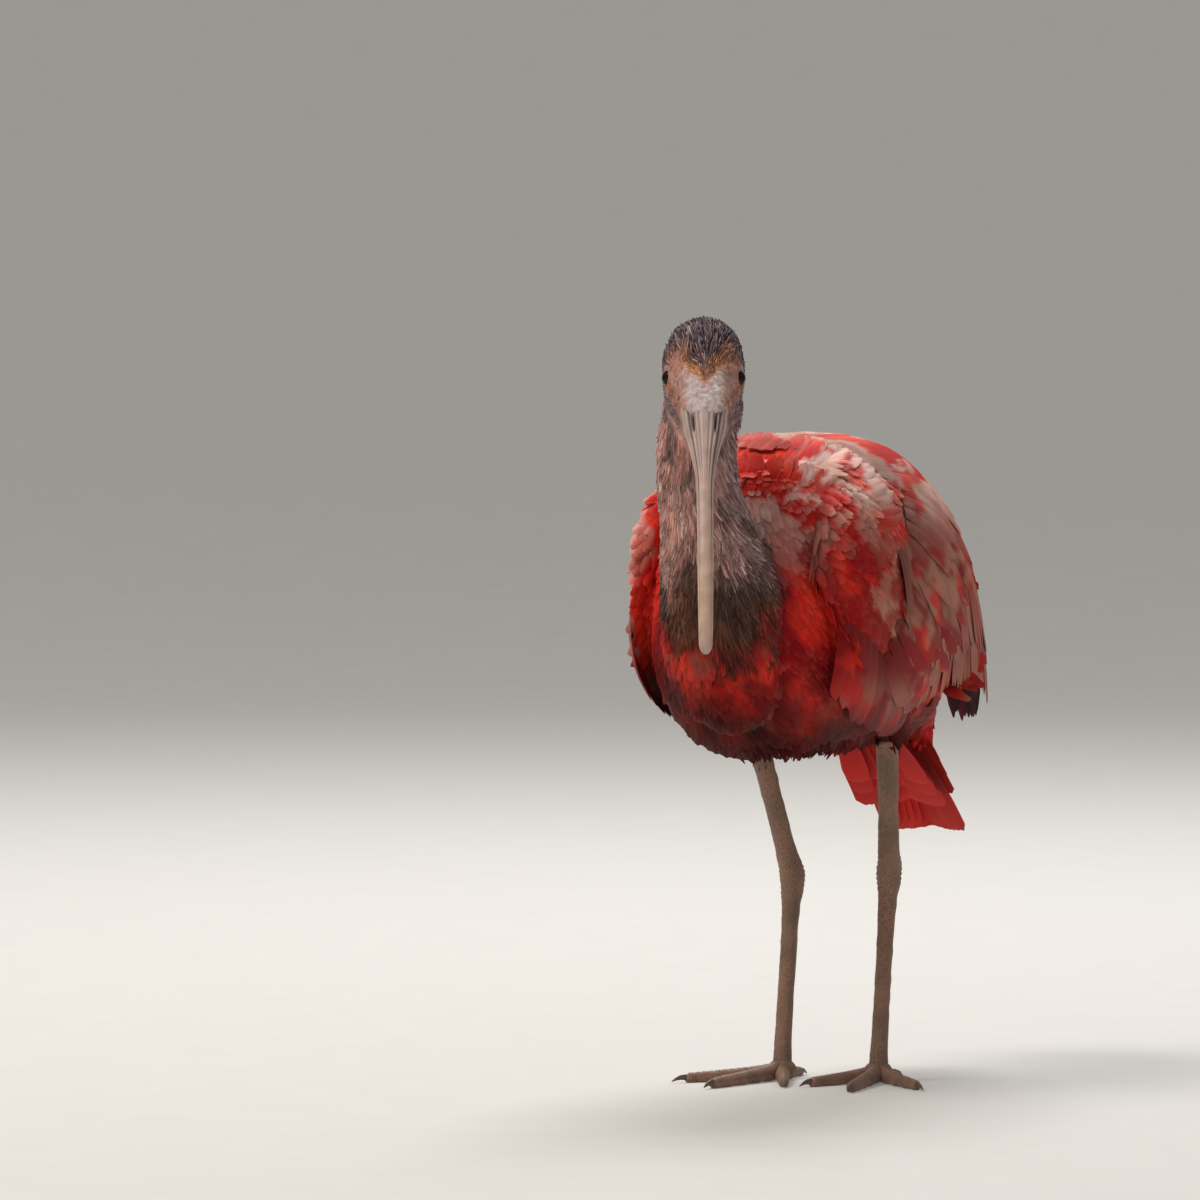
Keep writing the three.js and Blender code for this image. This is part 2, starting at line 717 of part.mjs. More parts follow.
const neck = columnForm(NECK_SECTIONS, { around: 20, along: 14, capLow: 16, capHigh: 14 });
add("neck", largest(solid(neck).subtract(aroundTorso).subtract(aroundHead)), "neckPlumage");

const upperBill = billForm(UPPER_BILL_SECTIONS, 1, 14, 0.16);
const lowerBill = billForm(LOWER_BILL_SECTIONS, -1, 12, 0);
const nostrils = [-1, 1].map((side) => {
  const { point, along, above } = billPlace(17);
  const slit = new THREE.SphereGeometry(1, 8, 6);
  slit.scale(4.2, 0.75, 1.3);
  slit.applyMatrix4(new THREE.Matrix4().makeBasis(along, leftward, above));
  const centre = point.clone().addScaledVector(leftward, side * 5.3).addScaledVector(above, 6.3);
  return solid(slit.translate(centre.x, centre.y, centre.z));
});
const neckClear = grown(neck);
add("bill_upper", largest(solid(upperBill).subtract(aroundHead).subtract(union(nostrils))), "bill");
add("bill_lower", largest(solid(lowerBill).subtract(aroundHead).subtract(neckClear)), "bill");

for (const [name, leg] of Object.entries(LEGS)) {
  const thigh = thighForm(leg);
  const whole = legForm(leg);
  const cut = leg.ankle[2] - ANKLE_CUT_DROP;
  const legSolid = solid(whole);
  const pad = new THREE.SphereGeometry(FOOT_PAD_RADIUS, 14, 9);
  pad.scale(1, 1, 0.8);
  pad.translate(leg.foot[0], leg.foot[1], 4.2);
  const tarsus = floorUp(union([legSolid.trimByPlane([0, 0, -1], -(cut - GAP / 2)), solid(pad)]));
  const shank = legSolid.trimByPlane([0, 0, 1], cut + GAP / 2);
  const aroundShank = grown(whole);
  add(`thigh_${name}`, largest(solid(thigh).subtract(aroundTorso).subtract(aroundShank)), "plumage");
  add(`shank_${name}`, largest(shank.subtract(aroundTorso)), "leg");
  add(`tarsus_${name}`, tarsus, "leg");
  const taken = [grown(pad), aroundShank];
  for (const [toe, sizes] of Object.entries(TOES)) {
    const form = toeForm(leg, sizes);
    add(`toe_${toe}_${name}`, floorUp(solid(form).subtract(union(taken))), "leg");
    taken.push(grown(form));
    add(`claw_${toe}_${name}`, floorUp(solid(clawForm(leg, sizes)).subtract(grown(form))), "claw");
  }
}

const thighsClear = Object.values(LEGS).map((leg) => grown(thighForm(leg), 2 * GAP));
const bodyClear = union([aroundTorso, neckClear, ...thighsClear]);
add("wing_left", wing(1, bodyClear), "wingPlumage");
add("wing_right", wing(-1, bodyClear.mirror([1, 0, 0])), "wingPlumage");
add("tail", tail(aroundTorso), "plumage");

// The frame's origin is the middle of the model's outline, on the floor.
const outline = new THREE.Box3().setFromObject(ibis);
const middle = outline.getCenter(vector(0, 0, 0));
ibis.position.set(-middle.x, -middle.y, 0);

export default ibis;
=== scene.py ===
"""A scarlet ibis in its change of plumage, dressed over its solids: skin, coat, wings and bare parts.

All sizes in this file are millimetres in the bird's own layout, where the breast faces -Y, the
bird's left is +X and the soles rest on z = 0. Placement turns them into metres in the shared frame.
"""

import itertools
import json
import logging
import math
from collections.abc import Callable, Iterable, Sequence
from dataclasses import dataclass, field
from enum import Enum

import bmesh
import bpy
import numpy as np
from mathutils import Matrix, Vector

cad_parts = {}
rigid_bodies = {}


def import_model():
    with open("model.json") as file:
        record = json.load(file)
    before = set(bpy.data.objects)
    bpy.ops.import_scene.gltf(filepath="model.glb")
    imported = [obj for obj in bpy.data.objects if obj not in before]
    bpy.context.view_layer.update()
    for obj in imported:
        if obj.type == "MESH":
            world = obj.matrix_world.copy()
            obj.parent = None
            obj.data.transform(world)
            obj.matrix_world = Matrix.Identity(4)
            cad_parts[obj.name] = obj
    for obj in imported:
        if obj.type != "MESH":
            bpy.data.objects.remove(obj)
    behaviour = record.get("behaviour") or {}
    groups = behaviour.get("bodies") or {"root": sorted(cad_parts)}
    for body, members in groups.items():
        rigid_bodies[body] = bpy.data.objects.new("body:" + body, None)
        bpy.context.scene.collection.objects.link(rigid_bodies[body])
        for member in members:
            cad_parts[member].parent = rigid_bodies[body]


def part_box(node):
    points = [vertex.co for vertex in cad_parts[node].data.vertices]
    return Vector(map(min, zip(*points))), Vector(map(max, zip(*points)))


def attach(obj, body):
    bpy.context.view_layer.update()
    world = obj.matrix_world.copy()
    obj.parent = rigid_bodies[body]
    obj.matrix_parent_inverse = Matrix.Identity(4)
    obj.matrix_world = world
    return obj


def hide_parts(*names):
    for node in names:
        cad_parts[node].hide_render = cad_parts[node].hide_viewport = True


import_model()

Array = np.ndarray
Rows = tuple[tuple[float, ...], ...]
Faces = list[tuple[int, ...]]
Value = bpy.types.NodeSocket | float | tuple[float, ...]

LOG = logging.getLogger("ibis")
MM = 0.001
TAU = 2 * math.pi
BODY = "root"
SEED = 2417
PATCH = 0.003  # side of one vane's patch on the baking map
BODY_STRIP = (0.02, 0.84)  # start and width of the body's part of that map
THIGH_STRIPS = ((0.88, 0.05), (0.94, 0.05))  # the same for the right and the left thigh
THIGH_TOP = 150.0
THIGH_REACH = 22.0  # how far from its shank the plumage of a thigh reaches

UP = np.array([0.0, 0.0, 1.0])
EYE_MIDDLE = np.array([3.0, -122.0, 308.0])
HEAD_TURN = math.radians(24)
HEAD_PITCH = math.radians(33)
AHEAD = np.array([math.sin(HEAD_TURN), -math.cos(HEAD_TURN), 0.0])
LEFTWARD = np.array([math.cos(HEAD_TURN), math.sin(HEAD_TURN), 0.0])


# Small helpers


def linear(code: str) -> tuple[float, float, float, float]:
    """Turns an sRGB hex value into linear colour.

    Args:
        code: Six hex digits, with or without a leading mark.

    Returns:
        Red, green, blue and an alpha of one.
    """
    digits = code.lstrip("#")
    parts = [int(digits[i : i + 2], 16) / 255 for i in (0, 2, 4)]
    red, green, blue = (p / 12.92 if p <= 0.04045 else ((p + 0.055) / 1.055) ** 2.4 for p in parts)
    return red, green, blue, 1.0


def colour(code: str) -> Array:
    """The linear red, green and blue of an sRGB hex value."""
    return np.array(linear(code)[:3])


def lerp(a: Array | float, b: Array | float, t: Array | float) -> Array | float:
    """The value a share t of the way from a to b."""
    return a + (b - a) * t


def blend(first: Array | str, second: Array | str, share: Array | float) -> Array:
    """Colours a share of the way from the first to the second, each linear or an sRGB hex value."""
    first, second = (colour(c) if isinstance(c, str) else c for c in (first, second))
    return lerp(first, second, np.asarray(share)[..., None])


def eased(share: Array) -> Array:
    """A share of the way that starts and ends slowly, for finer rings near the poles."""
    return (1 - np.cos(math.pi * share)) / 2


def ramp(value: Array, low: float, high: float) -> Array:
    """A smooth step from 0 at low to 1 at high."""
    t = np.clip((value - low) / (high - low), 0, 1)
    return t * t * (3 - 2 * t)


def unit(vectors: Array) -> Array:
    """Vectors scaled to length one."""
    return vectors / np.maximum(np.linalg.norm(vectors, axis=-1, keepdims=True), 1e-9)


def bulge(value: Array, exponent: float) -> Array:
    """A signed power, for cross-sections squarer than an ellipse."""
    return np.sign(value) * np.abs(value) ** (2 / exponent)


def section_fill(across: Array, rise: Array, exponent: float) -> Array:
    """How far out a place lies in a section, from its shares of the half-width and the reach."""
    return (np.abs(across) ** exponent + np.abs(rise) ** exponent) ** (1 / exponent)


def cap_share(distance: Array, cap: float) -> Array:
    """How much of its full section a form has at some distance from a rounded end."""
    return np.sqrt(np.maximum(0, 1 - (np.maximum(cap - distance, 0) / cap) ** 2))


def pitched(pitch: Array | float) -> tuple[Array, Array]:
    """Directions along and square to a line in the head's mid-plane.

    Args:
        pitch: How far the line points down, in radians.

    Returns:
        The unit vectors along the line and above it.
    """
    cos, sin = np.cos(pitch)[..., None], np.sin(pitch)[..., None]
    return cos * AHEAD - sin * UP, sin * AHEAD + cos * UP


@dataclass(frozen=True)
class Placement:
    """Where the bird's own layout stands in the shared frame."""

    shift: Array

    @classmethod
    def from_eyes(cls) -> "Placement":
        """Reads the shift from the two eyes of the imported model."""
        boxes = [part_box(f"eye_{side}") for side in ("left", "right")]
        middle = np.mean([(np.array(low) + np.array(high)) / 2 for low, high in boxes], axis=0)
        return cls(np.array([*(middle[:2] - EYE_MIDDLE[:2] * MM), 0.0]))

    def metres(self, points: Array) -> Array:
        """Points of the layout as places in the shared frame."""
        return points * MM + self.shift

    def layout(self, places: Array) -> Array:
        """Places in the shared frame as points of the layout."""
        return (places - self.shift) / MM


@dataclass(frozen=True)
class Noise:
    """Smooth random values in space, the same on each run."""

    seed: int

    def at(self, points: Array, size: float | Sequence[float]) -> Array:
        """Noise from about -1 to 1.

        Args:
            points: Places in millimetres.
            size: The width of a spot, one number or one for each axis.

        Returns:
            One value for each point.
        """
        grid = points / np.asarray(size, float)
        cell = np.floor(grid).astype(np.int64)
        part = grid - cell
        part = part * part * (3 - 2 * part)
        total = np.zeros(points.shape[:-1])
        for corner in itertools.product((0, 1), repeat=3):
            at = cell + np.array(corner)
            bits = at[..., 0] * 374761393 + at[..., 1] * 668265263 + at[..., 2] * 1440670441
            bits = (bits + self.seed * 982451653) & 0xFFFFFFFF
            bits = ((bits ^ (bits >> 13)) * 1274126177) & 0xFFFFFFFF
            bits = bits ^ (bits >> 16)
            weight = np.prod(np.where(np.array(corner) == 1, part, 1 - part), axis=-1)
            total += ((bits & 0xFFFF) / 32768 - 1) * weight
        return total * 1.4


def section_at(rows: Rows, place: Array) -> Array:
    """Smooth values of every column of a section list.

    Args:
        rows: Sections, with the place of each in its first column.
        place: Where values are wanted.

    Returns:
        One array for each column, with a value for each place.
    """
    table = np.array(rows, float)
    place = np.asarray(place, float)
    last = len(table) - 1
    i = np.clip(np.searchsorted(table[1:, 0], place, side="left"), 0, last - 1)
    a, b = table[i], table[i + 1]
    span = (b[..., 0] - a[..., 0])[..., None]
    t = np.clip((place[..., None] - a[..., :1]) / span, 0, 1)

    def slope(k: Array) -> Array:
        """The slope of every column at section k, over this span."""
        before, after = table[np.maximum(k - 1, 0)], table[np.minimum(k + 1, last)]
        return (after - before) / (after[..., :1] - before[..., :1]) * span

    t2, t3 = t * t, t * t * t
    values = (
        a * (2 * t3 - 3 * t2 + 1)
        + slope(i) * (t3 - 2 * t2 + t)
        + b * (3 * t2 - 2 * t3)
        + slope(i + 1) * (t3 - t2)
    )
    return np.moveaxis(values, -1, 0)


@dataclass
class Surface:
    """Points, faces and the map coordinates of each face corner."""

    points: Array
    faces: Faces
    corners: Array
    shades: dict[str, Array] = field(default_factory=dict)

    @classmethod
    def joined(cls, parts: Sequence["Surface"]) -> "Surface":
        """One surface from several, in order."""
        faces: Faces = []
        start = 0
        for part in parts:
            faces += [tuple(start + v for v in face) for face in part.faces]
            start += len(part.points)
        shades = {
            name: np.concatenate([part.shades[name] for part in parts]) for name in parts[0].shades
        }
        return cls(
            np.concatenate([part.points for part in parts]),
            faces,
            np.concatenate([part.corners for part in parts]),
            shades,
        )


def closed_form(
    around: int,
    along: int,
    form: Callable[[Array, Array], Array],
    groove: Callable[[Array, Array], Array] | None = None,
) -> Surface:
    """A closed surface of rings between two poles.

    Args:
        around: Points on each ring.
        along: Bands from pole to pole.
        form: Gives points from the share of the way between the poles and the angle round.
        groove: Gives how deep in a groove each point lies, where the form has grooves.

    Returns:
        The surface, mapped by angle and share.
    """
    shares = np.linspace(0, 1, along + 1)[1:-1]
    angles = np.arange(around) * TAU / around
    ring_shares, ring_angles = np.meshgrid(shares, angles, indexing="ij")
    rings = form(ring_shares, ring_angles).reshape(-1, 3)
    poles = form(np.array([0.0, 1.0]), np.zeros(2))
    faces: Faces = []
    corners: list[tuple[float, float]] = []
    for i in range(along - 2):
        for j in range(around):
            k = (j + 1) % around
            faces.append((i * around + j, i * around + k, (i + 1) * around + k, (i + 1) * around + j))
            low, high = shares[i], shares[i + 1]
            left, right = j / around, (j + 1) / around
            corners += [(left, low), (right, low), (right, high), (left, high)]
    first, last = len(rings), len(rings) + 1
    for j in range(around):
        k = (j + 1) % around
        base = (along - 2) * around
        left, right = j / around, (j + 1) / around
        faces.append((first, k, j))
        corners += [(left, 0), (right, shares[0]), (left, shares[0])]
        faces.append((last, base + j, base + k))
        corners += [(left, 1), (left, shares[-1]), (right, shares[-1])]
    surface = Surface(np.concatenate([rings, poles]), faces, np.array(corners))
    if groove:
        surface.shades["groove"] = np.append(groove(ring_shares, ring_angles).ravel(), (0.0, 0.0))
    return surface


def vane_surface(
    spine: Array,
    normals: Array,
    halves: Array,
    cup: float,
    columns: int,
    fray: Array,
) -> Surface:
    """One feather's vane: arched above, closed below, with a frayed tip.

    Args:
        spine: Points along the shaft, from root to tip.
        normals: The outward direction at each.
        halves: Half-width at each.
        cup: Drop of the edges, as a share of the half-width.
        columns: Strips across the vane.
        fray: How far each inner column's tip stands out, in millimetres.

    Returns:
        The closed vane, mapped across and along.
    """
    along = unit(np.gradient(spine, axis=0))
    sideways = unit(np.cross(normals, along))
    share = np.linspace(-1, 1, columns + 1)
    fray = np.abs(fray) * (np.abs(share) < 1)
    rows = len(spine) - 1
    v = np.linspace(0, 1, rows + 1)
    across = (halves[:, None] * share)[..., None]
    drop = (cup * halves[:, None] * share**2)[..., None]
    tips = (fray * (v[:, None] ** 4))[..., None]
    grid = (
        spine[:, None]
        + sideways[:, None] * across
        - normals[:, None] * drop
        + along[:, None] * tips
    )
    wide = columns + 1
    faces: Faces = []
    corners: list[tuple[float, float]] = []
    u = np.linspace(0, 1, wide)
    for i in range(rows):
        a, b = i * wide, (i + 1) * wide
        for j in range(columns):
            faces.append((a + j, b + j, b + j + 1, a + j + 1))
            corners += [(u[j], v[i]), (u[j], v[i + 1]), (u[j + 1], v[i + 1]), (u[j + 1], v[i])]
        faces.append((a, a + columns, b + columns, b))
        corners += [(0, v[i]), (1, v[i]), (1, v[i + 1]), (0, v[i + 1])]
    tip = rows * wide
    faces.append(tuple(range(wide)))
    corners += [(u[j], 0) for j in range(wide)]
    faces.append(tuple(tip + j for j in reversed(range(wide))))
    corners += [(u[j], 1) for j in reversed(range(wide))]
    return Surface(grid.reshape(-1, 3), faces, np.array(corners))


def add_node(tree: bpy.types.NodeTree, kind: str, inputs: dict | None = None, **settings) -> bpy.types.Node:
    """Adds a node with its settings and links.

    Args:
        tree: The tree to add to.
        kind: The node's type.
        inputs: Sockets or values by input name or number.
        settings: Properties of the node.

    Returns:
        The new node.
    """
    node = tree.nodes.new(kind)
    for name, value in settings.items():
        setattr(node, name, value)
    for key, value in (inputs or {}).items():
        if isinstance(value, bpy.types.NodeSocket):
            tree.links.new(value, node.inputs[key])
        else:
            node.inputs[key].default_value = value
    return node


def calc(tree: bpy.types.NodeTree, operation: str, *values: Value) -> bpy.types.NodeSocket:
    """The result of a math node on sockets and numbers."""
    return add_node(tree, "ShaderNodeMath", dict(enumerate(values)), operation=operation).outputs[0]


def combined(tree: bpy.types.NodeTree, *values: Value) -> bpy.types.NodeSocket:
    """A vector from up to three values."""
    return add_node(tree, "ShaderNodeCombineXYZ", dict(enumerate(values))).outputs[0]


def separated(tree: bpy.types.NodeTree, vector: bpy.types.NodeSocket) -> Sequence[bpy.types.NodeSocket]:
    """The three values of a vector."""
    return add_node(tree, "ShaderNodeSeparateXYZ", {0: vector}).outputs


def scaled(tree: bpy.types.NodeTree, vector: bpy.types.NodeSocket, factor: Value) -> bpy.types.NodeSocket:
    """A vector or colour times a number."""
    return add_node(tree, "ShaderNodeVectorMath", {0: vector, "Scale": factor}, operation="SCALE").outputs[0]


def mixed(tree: bpy.types.NodeTree, share: Value, first: Value, second: Value) -> bpy.types.NodeSocket:
    """The colour a share of the way from the first to the second."""
    return add_node(tree, "ShaderNodeMix", {0: share, 6: first, 7: second}, data_type="RGBA").outputs[2]


def remapped(
    tree: bpy.types.NodeTree,
    value: bpy.types.NodeSocket,
    source: tuple[float, float],
    target: tuple[float, float] = (0.0, 1.0),
    interpolation: str = "LINEAR",
) -> bpy.types.NodeSocket:
    """Carries a value from one range over to another.

    Args:
        tree: The tree to add to.
        value: The value.
        source: The range it comes from.
        target: The range it goes to.
        interpolation: How it runs between the ends.

    Returns:
        The carried value, held inside the target.
    """
    ends = {"From Min": source[0], "From Max": source[1], "To Min": target[0], "To Max": target[1]}
    node = add_node(tree, "ShaderNodeMapRange", {"Value": value} | ends, interpolation_type=interpolation)
    return node.outputs[0]


def cloudy(
    tree: bpy.types.NodeTree, place: bpy.types.NodeSocket, scale: float, detail: float = 2.0
) -> bpy.types.NodeSocket:
    """Cloud-like noise at a place."""
    inputs = {"Vector": place, "Scale": scale, "Detail": detail}
    return add_node(tree, "ShaderNodeTexNoise", inputs).outputs[0]


def stored(tree: bpy.types.NodeTree, name: str, output: str = "Color") -> bpy.types.NodeSocket:
    """A colour or number stored on the mesh."""
    return add_node(tree, "ShaderNodeAttribute", attribute_name=name).outputs[output]


def ramped(
    tree: bpy.types.NodeTree, value: bpy.types.NodeSocket, stops: Sequence[tuple[float, str]]
) -> bpy.types.NodeSocket:
    """A colour by the stops of a ramp, each a place and an sRGB hex value."""
    node = add_node(tree, "ShaderNodeValToRGB", {0: value})
    elements = node.color_ramp.elements
    for element, (position, code) in zip(elements, (stops[0], stops[-1])):
        element.position, element.color = position, linear(code)
    for position, code in stops[1:-1]:
        elements.new(position).color = linear(code)
    return node.outputs[0]


@dataclass(frozen=True)
class Relief:
    """Fine relief of a surface."""

    height: bpy.types.NodeSocket
    strength: float
    distance: float = 0.0003  # metres


def finish_shader(
    tree: bpy.types.NodeTree,
    shader: bpy.types.Node,
    tint: bpy.types.NodeSocket,
    relief: Relief | None = None,
    looks: dict[str, float | tuple] | None = None,
) -> None:
    """Gives a shader its colour, its relief and its other values.

    Args:
        tree: The material's tree.
        shader: The material's main shader.
        tint: Its colour.
        relief: Its relief, where it has one.
        looks: Its other values by input name.
    """
    tree.links.new(tint, shader.inputs["Base Color"])
    for name, value in (looks or {}).items():
        shader.inputs[name].default_value = value
    if relief:
        inputs = {"Strength": relief.strength, "Distance": relief.distance, "Height": relief.height}
        tree.links.new(add_node(tree, "ShaderNodeBump", inputs).outputs[0], shader.inputs["Normal"])


def make_piece(
    name: str,
    surface: Surface,
    place: Placement,
    materials: Sequence[bpy.types.Material],
    map_name: str = "pattern",
) -> bpy.types.Object:
    """Makes a mesh object from a surface.

    Args:
        name: The piece's name.
        surface: Its points, faces and map, in millimetres.
        place: The bird's placement.
        materials: Its materials.
        map_name: The name of its map.

    Returns:
        The new object, at the origin.
    """
    mesh = bpy.data.meshes.new(name)
    mesh.from_pydata(place.metres(surface.points).tolist(), [], surface.faces)
    layer = mesh.uv_layers.new(name=map_name)
    layer.data.foreach_set("uv", surface.corners.astype(np.float32).ravel())
    for key, values in surface.shades.items():
        store(mesh, key, values)
    smooth_faces(mesh)
    for material in materials:
        mesh.materials.append(material)
    mesh.update()
    return linked(name, mesh)


def smooth_faces(mesh: bpy.types.Mesh, rim: float = 70) -> None:
    """Shades a mesh smooth, but keeps thin rims crisp.

    Args:
        mesh: The mesh to shade.
        rim: Edges sharper than this many degrees stay crisp.
    """
    mesh.polygons.foreach_set("use_smooth", np.ones(len(mesh.polygons), bool))
    mesh.set_sharp_from_angle(angle=math.radians(rim))


def store(mesh: bpy.types.Mesh, name: str, values: Array) -> None:
    """Keeps one value for each vertex: a number, a direction or a linear colour.

    Args:
        mesh: The mesh to add to.
        name: The attribute's name.
        values: One number or three for each vertex. Names that end in tint are colours.
    """
    if values.ndim == 1:
        data = mesh.attributes.new(name, "FLOAT", "POINT").data
        data.foreach_set("value", values.astype(np.float32))
    elif name.endswith("tint"):
        data = mesh.attributes.new(name, "FLOAT_COLOR", "POINT").data
        full = np.concatenate([values, np.ones((len(values), 1))], axis=1)
        data.foreach_set("color", full.astype(np.float32).ravel())
    else:
        data = mesh.attributes.new(name, "FLOAT_VECTOR", "POINT").data
        data.foreach_set("vector", values.astype(np.float32).ravel())


def read_out(items: bpy.types.bpy_prop_collection, name: str, width: int, kind: type = np.float32) -> Array:
    """Values of a mesh's elements, one row for each."""
    values = np.empty(len(items) * width, kind)
    items.foreach_get(name, values)
    return values.reshape(-1, width)


def linked(name: str, data: bpy.types.ID) -> bpy.types.Object:
    """A new object in the scene."""
    thing = bpy.data.objects.new(name, data)
    bpy.context.scene.collection.objects.link(thing)
    return thing


def turned_out(piece: bpy.types.Object) -> None:
    """Makes the faces of a closed piece point outwards."""
    work = bmesh.new()
    work.from_mesh(piece.data)
    bmesh.ops.recalc_face_normals(work, faces=work.faces)
    work.to_mesh(piece.data)
    work.free()


def dressed(piece: bpy.types.Object, nodes: Iterable[str] = ()) -> bpy.types.Object:
    """Hands a finished piece to the frame and reports it.

    Args:
        piece: The finished piece.
        nodes: The solids that it stands for.

    Returns:
        The same piece.
    """
    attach(piece, BODY)
    nodes = tuple(nodes)
    if nodes:
        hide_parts(*nodes)
    mesh = piece.data
    mesh.calc_loop_triangles()
    LOG.info("%s: %d triangles", piece.name, len(mesh.loop_triangles))
    return piece


# Forms of the body


@dataclass(frozen=True)
class BodyForm:
    """A body given by cross-sections along Y: place, widest height, half-width, rise and fall."""

    rows: Rows
    front_cap: float = 46
    rear_cap: float = 18
    exponent: float = 2.4
    reach: float = 20  # how far past an end counts as much as the whole section

    def point(self, y: Array, angle: Array, share: Array | float = 1.0, depth: float = 0.0) -> Array:
        """A point of the form.

        Args:
            y: Place along the body.
            angle: Angle from the top of the back towards the bird's left.
            share: Share of the full section.
            depth: How far inside the form.

        Returns:
            Points in millimetres.
        """
        _, middle, half, up, down = section_at(self.rows, y)
        rise = np.where(np.cos(angle) > 0, up, down) - depth
        across = share * (half - depth) * bulge(np.sin(angle), self.exponent)
        height = middle + share * rise * bulge(np.cos(angle), self.exponent)
        return np.stack([across, y + 0 * across, height], -1)

    def fill(self, points: Array) -> Array:
        """How far out each point lies, where 1 is on the form."""
        _, middle, half, up, down = section_at(self.rows, points[..., 1])
        dz = points[..., 2] - middle
        rise = np.where(dz > 0, up, down)
        ends = np.maximum(self.rows[0][0] - points[..., 1], points[..., 1] - self.rows[-1][0])
        out = section_fill(points[..., 0] / half, dz / rise, self.exponent)
        return out + np.maximum(ends, 0) / self.reach

    def surface(self, around: int, along: int, depth: float) -> Surface:
        """The closed form, shrunk by a depth.

        Args:
            around: Points on each ring.
            along: Bands from end to end.
            depth: How far inside the outline it lies.

        Returns:
            The closed surface.
        """
        first, last = self.rows[0][0] + depth, self.rows[-1][0] - depth

        def form(share: Array, angle: Array) -> Array:
            """Points of the shrunk form."""
            y = lerp(first, last, eased(share))
            ends = cap_share(y - first, self.front_cap) * cap_share(last - y, self.rear_cap)
            return self.point(y, angle, ends, depth)

        return closed_form(around, along, form)


@dataclass(frozen=True)
class ColumnForm:
    """An upright form: height, centre X and Y, half-width, reach forwards and backwards."""

    rows: Rows
    low_cap: float = 8
    high_cap: float = 8
    reach: float = 12  # how far past an end counts as much as the whole section

    def surface(self, around: int, along: int, depth: float = 0.0) -> Surface:
        """The closed column, shrunk by a depth.

        Args:
            around: Points on each ring.
            along: Bands from foot to head.
            depth: How far inside the outline it lies.

        Returns:
            The closed surface.
        """
        first, last = self.rows[0][0], self.rows[-1][0]

        def form(share: Array, angle: Array) -> Array:
            """Points of the column."""
            z = lerp(first, last, eased(share))
            _, x, y, half, front, back = section_at(self.rows, z)
            ends = cap_share(z - first, self.low_cap) * cap_share(last - z, self.high_cap)
            reach = np.where(np.cos(angle) > 0, front, back) - depth
            across = x + ends * (half - depth) * np.sin(angle)
            return np.stack([across, y - ends * reach * np.cos(angle), z + 0 * x], -1)

        return closed_form(around, along, form)

    def fill(self, points: Array) -> Array:
        """How far out each point lies, where 1 is on the form."""
        z = points[..., 2]
        _, x, y, half, front, back = section_at(self.rows, z)
        ahead = y - points[..., 1]
        reach = np.where(ahead > 0, front, back)
        ends = np.maximum(self.rows[0][0] - z, z - self.rows[-1][0])
        return np.hypot((points[..., 0] - x) / half, ahead / reach) + np.maximum(ends, 0) / self.reach


@dataclass(frozen=True)
class HeadForm:
    """The skull in its own frame: forward reach, widest height, half-width, rise and fall."""

    rows: Rows = (
        (-34, -3, 13, 15, 13),
        (-24, -4, 16, 21, 16),
        (-12, -4, 17.8, 24, 18),
        (0, -5, 17.2, 21.5, 18),
        (10, -7, 14.6, 17, 15),
        (18, -9, 11.8, 13, 12),
        (25, -11, 10, 10, 10),
    )
    exponent: float = 2.15
    reach: float = 12  # how far past an end counts as much as the whole section

    def place(self, forward: Array, side: Array, up: Array) -> Array:
        """Points of the head's frame in the layout."""
        along, above = pitched(HEAD_PITCH)
        forward, side, up = (np.asarray(v, float)[..., None] for v in (forward, side, up))
        return EYE_MIDDLE + along * forward + LEFTWARD * side + above * up

    def local(self, points: Array) -> tuple[Array, Array, Array]:
        """Forward, sideways and upward places of layout points in the head's frame."""
        along, above = pitched(HEAD_PITCH)
        apart = points - EYE_MIDDLE
        return apart @ along, apart @ LEFTWARD, apart @ above

    def fill(self, points: Array) -> Array:
        """How far out each point lies, where 1 is on the form."""
        forward, side, up = self.local(points)
        _, middle, half, rise, fall = section_at(self.rows, forward)
        dz = up - middle
        reach = np.where(dz > 0, rise, fall)
        ends = np.maximum(self.rows[0][0] - forward, forward - self.rows[-1][0])
        return section_fill(side / half, dz / reach, self.exponent) + np.maximum(ends, 0) / self.reach

    def surface(self, around: int, along: int, depth: float) -> Surface:
        """The closed skull, shrunk by a depth.

        Args:
            around: Points on each ring.
            along: Bands from nape to face.
            depth: How far inside the outline it lies.

        Returns:
            The closed surface.
        """
        first, last = self.rows[0][0] + depth, self.rows[-1][0]

        def form(share: Array, angle: Array) -> Array:
            """Points of the skull."""
            forward = lerp(first, last, eased(share))
            _, middle, half, rise, fall = section_at(self.rows, forward)
            ends = cap_share(forward - first, 20) * cap_share(last - forward, 4)
            reach = np.where(np.cos(angle) > 0, rise, fall) - depth
            return self.place(
                forward,
                ends * (half - depth) * bulge(np.sin(angle), self.exponent),
                middle + ends * reach * bulge(np.cos(angle), self.exponent),
            )

        return closed_form(around, along, form)


